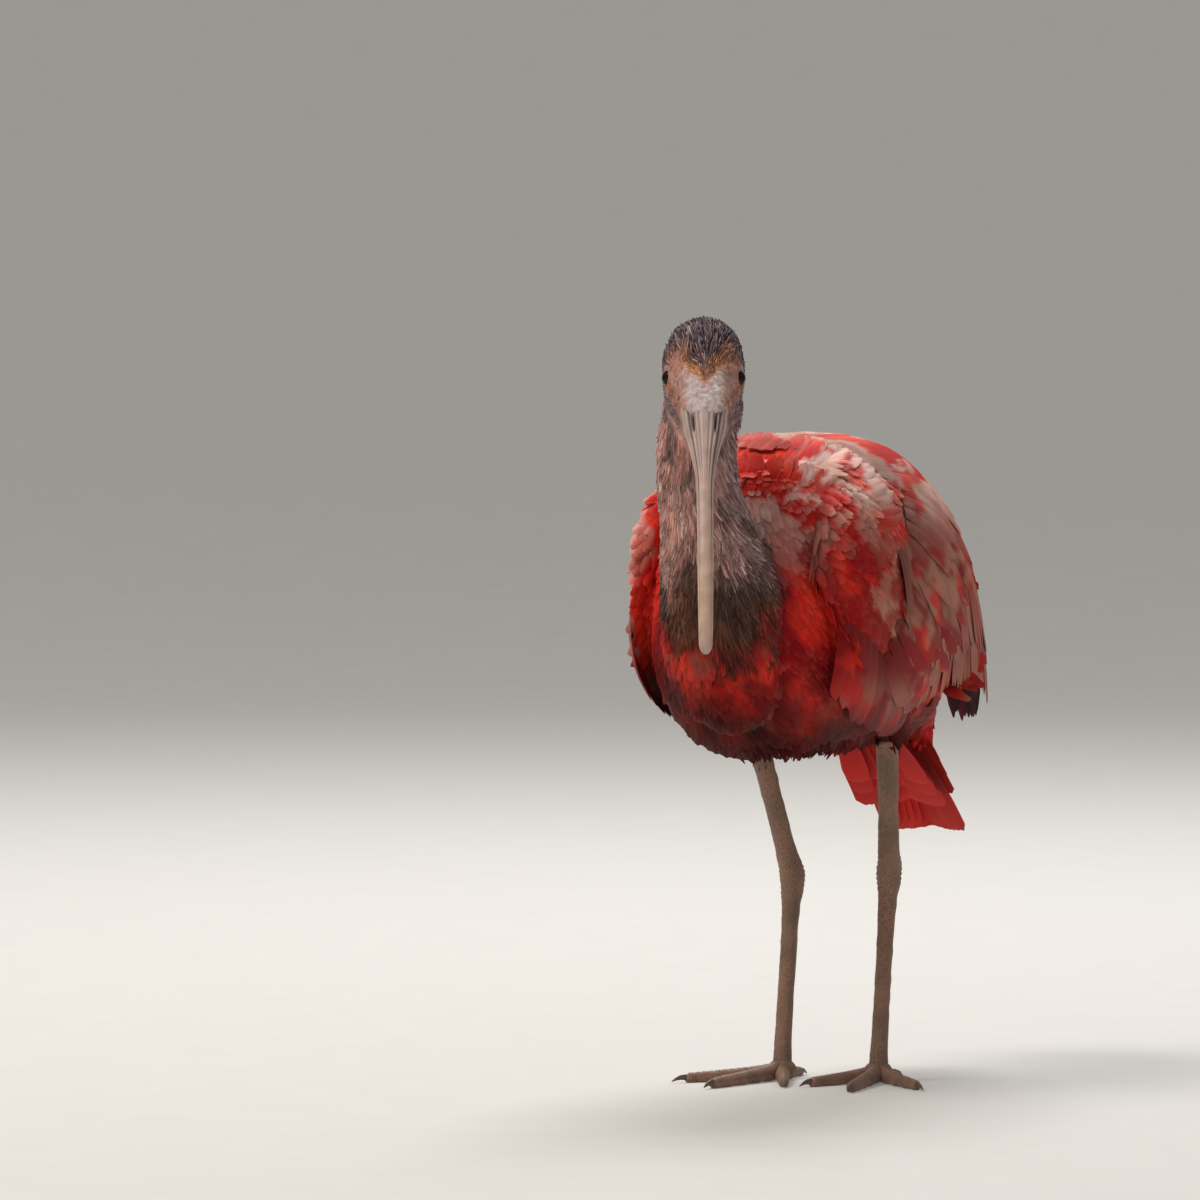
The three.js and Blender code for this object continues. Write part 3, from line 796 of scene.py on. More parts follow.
TORSO = BodyForm(
    (
        (-108, 198, 42, 48, 44),
        (-80, 206, 47, 59, 62),
        (-45, 210, 52, 66, 69),
        (-10, 211, 53, 67, 70),
        (25, 205, 51, 67, 62),
        (55, 190, 44, 61, 46),
        (80, 172, 32, 48, 30),
        (100, 155, 21, 31, 20),
        (118, 138, 13, 17, 14),
    )
)
WING_FACE = BodyForm(
    (
        (-94, 211, 42, 44, 42),
        (-75, 213, 54, 59, 58),
        (-45, 214, 60, 68, 68),
        (-10, 213, 61.5, 70, 70),
        (25, 209, 60, 71, 64),
        (60, 195, 56, 66, 54),
        (85, 177, 50, 53, 42),
        (105, 163, 43, 39, 32),
        (125, 147, 34, 26, 24),
        (145, 130, 25, 15, 16),
    )
)
WING_PLATE: Rows = (
    (-90, 62, 86),
    (-84, 46, 102),
    (-70, 30, 118),
    (-45, 16, 128),
    (-10, 5, 134),
    (25, 3, 134),
    (62, 3, 118),
)
NECK = ColumnForm(
    (
        (160, 1, -92, 17, 11, 14),
        (174, 1, -95, 23, 16, 18),
        (190, 1, -98, 26.5, 21, 22),
        (210, 1, -100, 27, 23.5, 24),
        (228, 0, -102, 25, 23, 24),
        (243, -3, -103, 22, 21, 22),
        (258, -6, -104, 19.6, 19, 19),
        (273, -7, -106, 18.4, 18, 17),
        (290, -5, -109, 18, 16, 16),
        (303, -3, -111, 16, 14, 15),
    ),
    16,
    14,
)
HEAD = HeadForm()


class Side(Enum):
    """The bird's own sides."""

    LEFT = 1
    RIGHT = -1

    @property
    def word(self) -> str:
        """The side's name, as in the node names."""
        return self.name.lower()


@dataclass(frozen=True)
class Leg:
    """One leg: its hip, the top of the shank, its ankle, the joint of its toes and the plumage's hem."""

    side: Side
    hip: tuple[float, float, float]
    top: tuple[float, float, float]
    ankle: tuple[float, float, float]
    foot: tuple[float, float, float]
    hem: float

    def at(self, height: float) -> tuple[float, float]:
        """Where the shank's middle line is at some height."""
        share = (height - self.ankle[2]) / (self.top[2] - self.ankle[2])
        return lerp(self.ankle[0], self.top[0], share), lerp(self.ankle[1], self.top[1], share)

    def thigh(self) -> ColumnForm:
        """The feathered thigh as an upright column."""
        sections = ((-7, 4.4, 4.4), (-1, 5.6, 5.8), (6, 6.9, 7.4), (13, 10.0, 12.5))
        rows = (
            (self.hem + rise, *self.at(self.hem + rise), half, deep, deep) for rise, half, deep in sections
        )
        return ColumnForm((*rows, (self.hip[2], *self.hip[:2], 16, 22, 22)), 3, 12)


LEGS = (
    Leg(Side.RIGHT, (-26, 6, 172), (-25, 8, 140), (-19, 28, 88), (-17, 11, 8), 142),
    Leg(Side.LEFT, (28, 14, 172), (29, 20, 140), (25, 32, 91), (26, 17, 8), 149),
)


def wing_place(y: Array, angle: Array, lift: Array, side: Side) -> tuple[Array, Array]:
    """A point of a folded wing's outer face.

    Args:
        y: Place along the body.
        angle: Angle from the top of the back, in radians.
        lift: Height over the face.
        side: Which wing.

    Returns:
        Points and outward directions.
    """
    step = 1e-2
    along = WING_FACE.point(y + 1, angle) - WING_FACE.point(y - 1, angle)
    around = WING_FACE.point(y, angle + step) - WING_FACE.point(y, angle - step)
    normal = unit(np.cross(along, around))
    outward = np.stack([np.sin(angle), 0 * angle, np.cos(angle)], -1)
    normal = np.where(np.sum(normal * outward, -1, keepdims=True) < 0, -normal, normal)
    point = WING_FACE.point(y, angle) + normal * np.asarray(lift)[..., None]
    flip = np.array([side.value, 1, 1])
    return point * flip, normal * flip


def wing_plate(side: Side, depth: float, thickness: float) -> Surface:
    """The fleshy front of a folded wing, as a closed pad.

    Args:
        side: Which wing.
        depth: How far its outer side lies under the wing's face.
        thickness: Its thickness at the middle.

    Returns:
        The closed pad.
    """

    def form(share: Array, angle: Array) -> Array:
        """Points round the pad's section."""
        y = lerp(WING_PLATE[0][0], WING_PLATE[-1][0], eased(share))
        _, upper, lower = section_at(WING_PLATE, y)
        ends = np.sin(math.pi * share) ** 0.35
        across = 0.5 - 0.5 * ends * bulge(np.cos(angle), 4)
        height = 0.5 * thickness * ends * bulge(np.sin(angle), 3)
        turn = np.radians(lerp(upper, lower, across))
        return wing_place(y, turn, height - depth - thickness / 2, side)[0]

    return closed_form(56, 48, form)


# Markings


@dataclass(frozen=True)
class Markings:
    """The colours of skin and plumage at any place on the bird, scarlet mixed with the young buff."""

    noise: Noise = Noise(SEED)
    fine: Noise = Noise(SEED + 1)
    brow_height: float = 307.4
    brow_slope: float = 0.9
    jaw_height: float = 303.0
    chin_height: float = 262.0
    bib_height: float = 250.0
    belly_height: float = 200.0

    def brow(self, points: Array) -> Array:
        """Height under the V-shaped edge of the crown's feathers."""
        _, side, _ = HEAD.local(points)
        rough = 0.8 * self.fine.at(points, 2.2)
        vee = self.brow_slope * np.minimum(np.abs(side), 8.5)
        return self.brow_height + vee - points[..., 2] + rough

    def head_bare(self, points: Array) -> Array:
        """How bare the face is, from 0 under feathers to 1 on open skin."""
        forward, side, up = HEAD.local(points)
        lore = forward - 4.5 - 0.3 * np.maximum(-up - 1, 0) + 0.8 * self.fine.at(points, 2.4)
        face = ramp(self.brow(points), -0.5, 0.9) * ramp(lore, -0.8, 1.0)
        jaw = ramp(np.abs(side) + 0.8 * self.noise.at(points, 3), 9.6, 11.2)
        face = face * (1 - jaw * ramp(self.jaw_height - points[..., 2], 0, 4))
        lid = ramp(-np.hypot(forward, up), -6.4, -5.2) * (np.abs(side) > 9)
        return np.maximum(face, lid) * (up > -17) * (points[..., 2] > self.chin_height)

    def face_skin(self, points: Array) -> Array:
        """Colours of the bare face: pale and bumpy in the middle, orange-brown before the eyes."""
        _, side, up = HEAD.local(points)
        off = np.abs(side)
        speck = self.fine.at(points, 0.9) + 0.7 * self.noise.at(points, 1.7)
        base = blend("#AC9898", "#C4B4B2", ramp(speck, -1.4, 1.4))
        tan = blend("#8E6254", "#B98672", ramp(speck, -1.1, 1.2))
        base = blend(base, tan, 0.85 * ramp(off + 1.2 * self.noise.at(points, 3.5), 5.0, 10.5))
        rust = blend("#844E38", "#AE6A48", ramp(speck, -1.1, 1.2))
        base = blend(base, rust, 0.9 * ramp(off, 9, 12.5) * ramp(3 - up, 0, 5))
        band = ramp(-self.brow(points), -4.5, 0.5) * ramp(14 - off, 0, 6)
        glow = blend("#A86034", "#D8945C", ramp(speck, -0.9, 1.1))
        return blend(base, glow, 0.85 * band)

    def neck_tints(self, points: Array) -> tuple[Array, Array]:
        """Streaked browns of the neck, darkest towards its foot.

        Args:
            points: Places on the bird.

        Returns:
            Main and edge colours.
        """
        x, y, z = np.moveaxis(points, -1, 0)
        streak = self.noise.at(points, (1.7, 2.2, 8.0)) + 0.6 * self.fine.at(points, (0.9, 1.1, 3.5))
        front = ramp(-(y + 104) - 0.3 * np.abs(x + 4), 1, 14)
        base = blend("#B08A86", "#D29A8C", front * ramp(streak + 0.4, -0.5, 0.7))
        cool = 0.6 * (1 - front) * ramp(z, 232, 268) * ramp(streak, -0.3, 0.7)
        base = blend(base, "#8F7078", cool)
        base = blend(base, "#5C4540", ramp(-streak, 0.05, 0.8) * 0.8)
        low = ramp(self.bib_height - z + 8 * self.noise.at(points, 14), 0, 34)
        black = blend("#2B1A15", "#553C2A", ramp(self.fine.at(points, 6), -0.3, 0.9))
        rusty = blend(black, "#6E3E2A", 0.55 * ramp(self.noise.at(points, 8), 0.1, 0.9))
        base = blend(base, rusty, 0.9 * low)
        share = ramp(self.fine.at(points, (3, 3, 7)), -0.8, 0.6) * lerp(0.9, 0.7, front)
        return base, blend(base, blend("#E0CCC4", "#54402F", low), share)

    def head_tints(self, points: Array) -> tuple[Array, Array]:
        """Dark crown with pale curly streaks, warmer at the forehead.

        Args:
            points: Places on the bird.

        Returns:
            Main and edge colours.
        """
        forward, side, up = HEAD.local(points)
        off = np.abs(side)
        streak = self.fine.at(points, 1.5)
        base = blend("#352A38", "#64505C", ramp(streak, -0.3, 0.9))
        brow = self.brow(points)
        warm = ramp(brow + 2 * self.noise.at(points, 3), -9, -1)
        warm = warm * ramp(14 - off, 0, 7) * ramp(forward, -10, -2)
        base = blend(base, blend("#96604A", "#E8A066", ramp(streak, -0.5, 0.7)), 0.85 * warm)
        temple = ramp(brow, -10, -2) * ramp(off, 6, 10) * ramp(forward, -8, 1) * ramp(up, -9, -3)
        base = blend(base, blend("#A3685A", "#D09A86", ramp(streak, -0.5, 0.7)), 0.8 * temple)
        cheek = ramp(-up, 1, 10)
        base = blend(base, blend("#5C4A58", "#9A807E", ramp(streak, -0.4, 0.7)), 0.8 * cheek)
        pale = blend("#D2BCBC", "#F0BE8C", warm)
        return base, blend(base, pale, 0.8 + 0.2 * self.noise.at(points, 4))

    def body_tints(self, points: Array) -> tuple[Array, Array]:
        """Scarlet and crimson patches among pink and buff; a darker belly, partly painted shade, with a
        painted sheen.

        Args:
            points: Places on the bird.

        Returns:
            Main and edge colours.
        """
        x, y, z = np.moveaxis(points, -1, 0)
        warp = np.stack([self.fine.at(points + 100 * k, 9) for k in (1, 2, 3)], -1)
        bent = points + 5 * warp
        patch = self.noise.at(bent, 23) + 0.6 * self.noise.at(bent + 400, 11) + 0.25 * self.fine.at(bent, 4)
        blotch = self.noise.at(bent + 900, 17) + 0.5 * self.fine.at(bent + 50, 8)
        wing = ramp(np.abs(x), 43, 54) * ramp(y, -92, -66)
        high = ramp(z, 218, 262)
        wrist = ramp(-x, 38, 50)
        deep, rose, pale = "#2A0604", "#A8544A", "#EBC2B6"
        base = blend("#D3221A", "#F0442A", ramp(blotch, 0.0, 0.6) * lerp(0.3, 1.0, high))
        base = blend(base, "#8C0C14", ramp(-blotch, 0.0, 0.5) * lerp(1.0, 0.15, high))
        light = ramp(-patch + 0.45 * wing + 0.4 * high + 0.8 * wrist, 0.42, 0.56)
        tan = blend(pale, "#CBA08E", ramp(self.noise.at(bent + 700, 12), -0.2, 0.4))
        young = blend(rose, tan, np.maximum(high, wrist))
        young = blend(young, "#B07A66", wing * (1 - wrist) * (1 - 0.8 * high))
        base = blend(base, young, light * lerp(0.65, 0.96, np.maximum(wing, high)))
        side = ramp(np.abs(x), 38, 46) * ramp(y, -96, -84) * (1 - wrist)
        crisp = ramp(self.noise.at(bent + 1300, 12) + 0.3 * self.fine.at(bent + 70, 4), -0.3, -0.12) * side
        base = blend(base, "#960A0E", 0.92 * crisp * (1 - high) * ramp(z, 165, 185))
        # the darker underside: partly the belly's own dark red, partly painted shade, more of it on the
        # bird's right
        below = self.belly_height - z + 9 * warp[..., 0] + 0.35 * np.minimum(-x, 20)
        under = ramp(below, 0, 38) * (1 - 0.5 * wing)
        belly_shade_and_sheen = blend(deep, "#701E14", ramp(blotch + 0.5 * patch, -0.2, 0.9))
        # painted sheen: paler rose low on the bird's left side of the belly
        belly_shade_and_sheen = blend(belly_shade_and_sheen, "#8C453A", 0.55 * ramp(x, 15, 45) * ramp(z, 146, 170))
        # painted shade: the lowest part of the belly darkens to near black
        belly_shade_and_sheen = blend(belly_shade_and_sheen, deep, 0.7 * ramp(168 - z, 0, 20))
        base = blend(base, belly_shade_and_sheen, 0.93 * under)
        base = blend(base, "#D01C16", 0.85 * (ramp(y, 55, 95) * ramp(195 - z, 0, 25)))
        share = 0.06 + 0.3 * ramp(self.fine.at(points, 6), -0.2, 0.6) * (1 - under)
        return base, blend(base, blend(rose, pale, high), share)

    def tints(self, points: Array) -> tuple[Array, Array, dict[str, Array]]:
        """Colours and region shares anywhere on the skin.

        Args:
            points: Places on the bird.

        Returns:
            Main colours, edge colours, and the share of each region by name.
        """
        fills = {"head": HEAD.fill(points), "neck": NECK.fill(points), "torso": TORSO.fill(points)}
        near = {name: np.exp(-9 * (np.clip(value, 0.5, 4) - 0.9)) for name, value in fills.items()}
        ragged = 1 + 0.9 * self.noise.at(points, 13) + 0.5 * self.fine.at(points, 5)
        apron = 1 - np.hypot((points[..., 0] - 5) / 31, (points[..., 2] - 214) / 33) + 0.1 * ragged
        near["neck"] *= np.exp(np.clip(ragged, -1, 2.4) - 0.6)
        near["neck"] *= 1 + 12 * ramp(apron, 0.0, 0.25) * (points[..., 1] < -70)
        near["neck"] *= ramp(points[..., 2], 181, 192)
        near["head"] *= 1 + 2 * ramp(points[..., 2], 282, 296)
        total = sum(near.values())
        share = {name: value / total for name, value in near.items()}
        pairs = {
            "head": self.head_tints(points),
            "neck": self.neck_tints(points),
            "torso": self.body_tints(points),
        }
        crisp = {name: value**3 for name, value in share.items()}
        whole = sum(crisp.values())
        base, edge = (
            sum(pair[k] * (crisp[name] / whole)[..., None] for name, pair in pairs.items()) for k in (0, 1)
        )
        bare = self.head_bare(points)
        return blend(base, self.face_skin(points), bare), edge, share | {"bare": bare}


MARKINGS = Markings()


# Finishes


def principled(name: str) -> tuple[bpy.types.Material, bpy.types.NodeTree, bpy.types.Node]:
    """A new material with its tree and main shader.

    Args:
        name: The material's name.

    Returns:
        The material, its node tree and the shader node.
    """
    material = bpy.data.materials.new(name)
    material.use_nodes = True
    tree = material.node_tree
    return material, tree, tree.nodes["Principled BSDF"]


@dataclass(frozen=True)
class FeatherVane:
    """Keratin vanes of close-set barbs: soft sheen, fine herringbone lines and a lighter fringe."""

    name: str
    roughness: float = 0.62
    sheen: float = 0.015
    barbs: float = 26.0  # barbs along one vane, drawn coarser than the real ones so that they show
    bump: float = 0.2
    fringe: float = 0.75  # how much of the edge colour the outline takes
    pale: float = 0.0  # share of the feathers that wear the edge colour all over
    contrast: float = 1.0  # how much the feathers differ in depth of colour

    def build(self) -> bpy.types.Material:
        """Makes the material from the vane's own map and its root's colours."""
        material, tree, shader = principled(self.name)
        x, y, _ = separated(tree, add_node(tree, "ShaderNodeUVMap", uv_map="vane").outputs[0])
        across = calc(tree, "ABSOLUTE", calc(tree, "SUBTRACT", x, 0.5))
        slant = calc(tree, "MULTIPLY_ADD", across, -0.9, y)
        wave = calc(tree, "SINE", calc(tree, "MULTIPLY", slant, self.barbs * TAU))
        grain = cloudy(tree, add_node(tree, "ShaderNodeTexCoord").outputs["Object"], 900.0, 3.0)
        far = calc(tree, "MAXIMUM", y, calc(tree, "MULTIPLY", across, 2.0))
        rough_edge = calc(tree, "MULTIPLY_ADD", grain, 0.3, far)
        rim = remapped(tree, rough_edge, (0.86, 1.12), (0.0, self.fringe), "SMOOTHSTEP")
        pale = (1.001 - self.pale, 1.1 - 0.9 * self.pale)
        whole = remapped(tree, stored(tree, "lot", "Fac"), pale, (0.0, 0.85))
        worn = calc(tree, "MAXIMUM", rim, whole)
        fringed = mixed(tree, worn, stored(tree, "tint"), stored(tree, "edge_tint"))
        deep = calc(tree, "POWER", stored(tree, "shade", "Fac"), self.contrast)
        tone = calc(tree, "MULTIPLY_ADD", wave, 0.035, deep)
        shadow = remapped(tree, y, (0.0, 0.7), (0.6, 1.0))
        final = scaled(tree, fringed, calc(tree, "MULTIPLY", tone, shadow))
        looks = {
            "Roughness": self.roughness,
            "Sheen Weight": self.sheen,
            "Sheen Roughness": 0.45,
            "Specular IOR Level": 0.08,
        }
        finish_shader(tree, shader, final, Relief(calc(tree, "ADD", wave, grain), self.bump), looks)
        return material


@dataclass(frozen=True)
class LivingSkin:
    """Thin skin with the markings' colours: dull under the coat, finely bumped where it is bare."""

    name: str = "living_skin"
    bumps: float = 1300.0  # per metre, about 0.8 mm between the face's small bumps

    def build(self) -> bpy.types.Material:
        """Makes the material from the skin's own colour attribute."""
        material, tree, shader = principled(self.name)
        where = add_node(tree, "ShaderNodeTexCoord").outputs["Object"]
        inputs = {"Vector": where, "Scale": self.bumps}
        cells = add_node(tree, "ShaderNodeTexVoronoi", inputs, feature="SMOOTH_F1")
        tone = remapped(tree, cloudy(tree, where, 420.0, 4.0), (0.3, 0.7), (0.75, 1.15))
        relief = Relief(cells.outputs["Distance"], 0.3, 0.0004)
        looks = {"Roughness": 0.6, "Specular IOR Level": 0.35}
        finish_shader(tree, shader, scaled(tree, stored(tree, "tint"), tone), relief, looks)
        return material


@dataclass(frozen=True)
class BillKeratin:
    """Living keratin sheath of the bill: matt, lengthwise fibres, pinkish grey to buff, with painted shade
    in its grooves and nostrils.
    """

    name: str = "bill_keratin"
    stops: tuple[tuple[float, str], ...] = (
        (0.0, "#A8928C"),
        (0.2, "#B09A94"),
        (0.42, "#B89C92"),
        (0.75, "#C4A38C"),
        (0.93, "#B99C8A"),
        (1.0, "#8F8078"),
    )

    def build(self) -> bpy.types.Material:
        """Makes the material from the bill's map, with length along V."""
        material, tree, shader = principled(self.name)
        x, y, _ = separated(tree, add_node(tree, "ShaderNodeUVMap", uv_map="pattern").outputs[0])
        inputs = {"Vector": combined(tree, x, y), "Scale": (90.0, 9.0, 1.0)}
        fibre = cloudy(tree, add_node(tree, "ShaderNodeMapping", inputs).outputs[0], 1.0, 4.0)
        cloud = cloudy(tree, add_node(tree, "ShaderNodeTexCoord").outputs["Object"], 160.0, 4.0)
        tone = remapped(tree, calc(tree, "ADD", fibre, cloud), (0.65, 1.35), (0.7, 1.22))
        sheath = scaled(tree, ramped(tree, y, self.stops), tone)
        # painted shade: the grooves and the nostril darken with their depth
        lined = mixed(tree, stored(tree, "groove", "Fac"), sheath, linear("#3E302E"))
        looks = {"Roughness": 0.5, "Subsurface Weight": 0.08, "Subsurface Scale": 0.002, "IOR": 1.54}
        finish_shader(tree, shader, lined, Relief(fibre, 0.4), looks)
        return material


@dataclass(frozen=True)
class ScaledSkin:
    """Leathery skin of the leg: small plates with sunk seams, dusky pink over olive."""

    name: str
    tints: tuple[str, str, str]  # pale plate, dark plate, seam
    plates: float = 880.0  # per metre, about 1.1 mm across

    def build(self) -> bpy.types.Material:
        """Makes the material from places in the object."""
        material, tree, shader = principled(self.name)
        pale, dark, sunk = (linear(code) for code in self.tints)
        where = add_node(tree, "ShaderNodeTexCoord").outputs["Object"]
        squash = add_node(tree, "ShaderNodeMapping", {"Vector": where, "Scale": (1.0, 1.0, 1.35)})
        inputs = {"Vector": squash.outputs[0], "Scale": self.plates}
        cells = add_node(tree, "ShaderNodeTexVoronoi", inputs, feature="DISTANCE_TO_EDGE")
        seam = remapped(tree, cells.outputs["Distance"], (0.0, 0.12))
        plate = mixed(tree, remapped(tree, cloudy(tree, where, 70.0, 5.0), (0.35, 0.65)), pale, dark)
        lined = mixed(tree, seam, sunk, plate)
        finish_shader(tree, shader, lined, Relief(seam, 0.7), {"Roughness": 0.52})
        return material


@dataclass(frozen=True)
class EyeGloss:
    """The wet eye: a near-black brown iris under a clear, mirror-smooth cornea."""

    name: str = "eye_gloss"
    stops: tuple[tuple[float, str], ...] = ((0.16, "#050404"), (0.2, "#2A1812"), (0.34, "#0C0807"))

    def build(self) -> bpy.types.Material:
        """Makes the material from the eye's map, with V from the pupil outwards."""
        material, tree, shader = principled(self.name)
        spot = add_node(tree, "ShaderNodeUVMap", uv_map="pattern").outputs[0]
        iris = ramped(tree, separated(tree, spot)[1], self.stops)
        tone = remapped(tree, cloudy(tree, spot, 60.0), (0.0, 1.0), (0.6, 1.3))
        looks = {"Roughness": 0.07, "IOR": 1.36, "Specular IOR Level": 0.22}
        finish_shader(tree, shader, scaled(tree, iris, tone), looks=looks)
        return material


@dataclass(frozen=True)
class ClawHorn:
    """Hard dark horn of the claws, worn smooth, with fine lengthwise grain."""

    name: str = "claw_horn"

    def build(self) -> bpy.types.Material:
        """Makes the material from places in the object."""
        material, tree, shader = principled(self.name)
        grain = cloudy(tree, add_node(tree, "ShaderNodeTexCoord").outputs["Object"], 500.0, 3.0)
        tint = mixed(tree, grain, linear("#3A2D28"), linear("#6A564A"))
        finish_shader(tree, shader, tint, looks={"Roughness": 0.38})
        return material


# Skin


SPINE = np.array(
    [
        (0, 118, 138),
        (0, 80, 166),
        (0, 40, 192),
        (0, 0, 206),
        (0, -40, 208),
        (0, -75, 206),
        (1, -98, 212),
        (0, -103, 235),
        (-6, -105, 262),
        (-5, -109, 290),
        (0, -116, 305),
        (8, -138, 296),
    ],
    float,
)


def unwrapped(points: Array) -> tuple[Array, Array]:
    """The skin laid flat: angle round the spine and length along it.

    Args:
        points: Places on the skin.

    Returns:
        The cosine and sine of the angle with the length along the spine, and for each point the
        start and width of its strip of the map.
    """
    starts, ends = SPINE[:-1], SPINE[1:]
    steps = ends - starts
    lengths = np.linalg.norm(steps, axis=1)
    share = np.clip(np.einsum("nsk,sk->ns", points[:, None] - starts, steps) / lengths**2, 0, 1)
    nearest = starts + share[..., None] * steps
    best = np.argmin(np.linalg.norm(points[:, None] - nearest, axis=2), axis=1)
    each = np.arange(len(points))
    out = points - nearest[each, best]
    along = steps[best] / lengths[best, None]
    above = unit(np.cross(along, np.array([1.0, 0.0, 0.0])))
    above = np.where(above[:, 2:] + 0.6 * above[:, 1:2] < 0, -above, above)
    angle = np.arctan2(out[:, 0], np.sum(out * above, 1))
    before = np.concatenate([[0], np.cumsum(lengths)[:-1]])
    travelled = (before[best] + share[each, best] * lengths[best]) / lengths.sum()
    around = np.stack([np.cos(angle), np.sin(angle), 0.02 + 0.94 * travelled], 1)
    strip = np.tile([*BODY_STRIP, 0.0], (len(points), 1))
    for leg, thigh in zip(LEGS, THIGH_STRIPS):
        x, y, _ = leg.top
        near = np.hypot(points[:, 0] - x, points[:, 1] - y) < THIGH_REACH
        low = (points[:, 2] < THIGH_TOP) & near
        turn = np.arctan2(points[:, 0] - x, points[:, 1] - y)
        flat = np.stack([np.cos(turn), np.sin(turn), 0.1 + (points[:, 2] - 120) / 60], 1)
        around = np.where(low[:, None], flat, around)
        strip = np.where(low[:, None], np.array([*thigh, 0.0]), strip)
    return around, strip


def map_place(points: Array) -> Array:
    """Where places on the skin lie on the flat map."""
    around, strip = unwrapped(points)
    u = np.arctan2(around[:, 1], around[:, 0]) / TAU + 0.5
    return np.stack([strip[:, 0] + strip[:, 1] * u, around[:, 2]], 1)


@dataclass
class Skin:
    """One skin over torso, neck, head, thighs and the roots of the wings, under the coat.

    Each depth is how far the skin lies inside its form. The coat changes its kind of feather at the
    height of the bib's top and at the places along Y where breast and flank end.
    """

    place: Placement
    voxel: float = 1.5
    body_depth: float = 3.8
    neck_depth: float = 2.2
    head_depth: float = 0.5
    thigh_depth: float = 1.6
    wing_depth: float = 3.4
    saddle_depth: float = 6.0
    wing_thickness: float = 7.0
    bib_top: float = 236.0
    breast_end: float = -48.0
    flank_end: float = 15.0

    def forms(self) -> Surface:
        """All the closed forms that the skin runs over."""
        rows = tuple((y, middle, half, up, 20) for y, middle, half, up, _ in WING_FACE.rows[:6])
        saddle = BodyForm(rows, 24, 40)
        return Surface.joined(
            [
                TORSO.surface(72, 72, self.body_depth),
                NECK.surface(48, 48, self.neck_depth),
                HEAD.surface(56, 56, self.head_depth),
                *(wing_plate(side, self.wing_depth, self.wing_thickness) for side in Side),
                *(leg.thigh().surface(28, 24, self.thigh_depth) for leg in LEGS),
                Bill(self.place).muzzle(),
                *(self.cheek(side) for side in Side),
                self.nape(),
                saddle.surface(64, 56, self.saddle_depth),
            ]
        )

    def cheek(self, side: Side) -> Surface:
        """The soft fill between the jaw and the top of the neck."""

        def form(share: Array, angle: Array) -> Array:
            """Points of the cheek."""
            flat = np.sin(math.pi * share)
            forward = -3 + 9 * flat * np.sin(angle)
            across = 10.6 + 6.2 * flat * np.cos(angle)
            return HEAD.place(forward, side.value * across, -16 - 12 * np.cos(math.pi * share))

        return closed_form(24, 20, form)

    def nape(self) -> Surface:
        """The soft fill between the back of the head and the neck."""

        def form(share: Array, angle: Array) -> Array:
            """Points of the nape."""
            flat = np.sin(math.pi * share)
            across, deep = 13 * flat * np.cos(angle), 12.5 * flat * np.sin(angle)
            out = np.stack([across, deep, -17 * np.cos(math.pi * share)], -1)
            return np.array([-6.0, -102.0, 298.0]) + out

        return closed_form(28, 24, form)

    def build(self, material: bpy.types.Material) -> bpy.types.Object:
        """Fuses the forms into one smooth skin and stores its markings.

        Args:
            material: The skin's material.

        Returns:
            The skin, still to be handed to the frame.
        """
        rough = make_piece("skin_rough", self.forms(), self.place, [])
        turned_out(rough)
        remesh = rough.modifiers.new("fuse", "REMESH")
        remesh.mode = "VOXEL"
        remesh.voxel_size = self.voxel * MM
        smooth = rough.modifiers.new("ease", "SMOOTH")
        smooth.factor, smooth.iterations = 0.5, 6
        graph = bpy.context.evaluated_depsgraph_get()
        mesh = bpy.data.meshes.new_from_object(rough.evaluated_get(graph), depsgraph=graph)
        bpy.data.objects.remove(rough)
        mesh.name = "skin"
        for layer in list(mesh.uv_layers):
            mesh.uv_layers.remove(layer)
        self.refine_face(mesh)
        points, normals = self.read(mesh)
        for name, values in self.attributes(points, normals).items():
            store(mesh, name, values)
        mesh.materials.clear()
        mesh.materials.append(material)
        mesh.polygons.foreach_set("use_smooth", np.ones(len(mesh.polygons), bool))
        return linked("skin", mesh)

    def read(self, mesh: bpy.types.Mesh) -> tuple[Array, Array]:
        """The mesh's points in millimetres and their outward directions."""
        places = read_out(mesh.vertices, "co", 3).astype(float)
        return self.place.layout(places), read_out(mesh.vertex_normals, "vector", 3).astype(float)

    def refine_face(self, mesh: bpy.types.Mesh) -> None:
        """Makes the bare face finer and raises its small bumps and folds.

        Args:
            mesh: The fused skin.
        """
        for _ in range(2):
            bare = MARKINGS.head_bare(self.read(mesh)[0]) > 0.3
            work = bmesh.new()
            work.from_mesh(mesh)
            work.verts.ensure_lookup_table()
            edges = [e for e in work.edges if bare[e.verts[0].index] and bare[e.verts[1].index]]
            made = bmesh.ops.subdivide_edges(work, edges=edges, cuts=1, use_grid_fill=True)
            inner = [v for v in made["geom_inner"] if isinstance(v, bmesh.types.BMVert)]
            axes = {f"use_axis_{axis}": True for axis in "xyz"}
            for _ in range(3):
                bmesh.ops.smooth_vert(work, verts=inner, factor=0.5, **axes)
            work.to_mesh(mesh)
            work.free()
        points, normals = self.read(mesh)
        fine, coarse = MARKINGS.fine, MARKINGS.noise
        bumps = 0.08 * fine.at(points, 1.1) + 0.12 * coarse.at(points, 2.3)
        bumps += 0.1 * fine.at(points, (1.0, 1.0, 3.5))
        raised = points + normals * (bumps * MARKINGS.head_bare(points))[:, None]
        mesh.vertices.foreach_set("co", self.place.metres(raised).astype(np.float32).ravel())
        mesh.update()

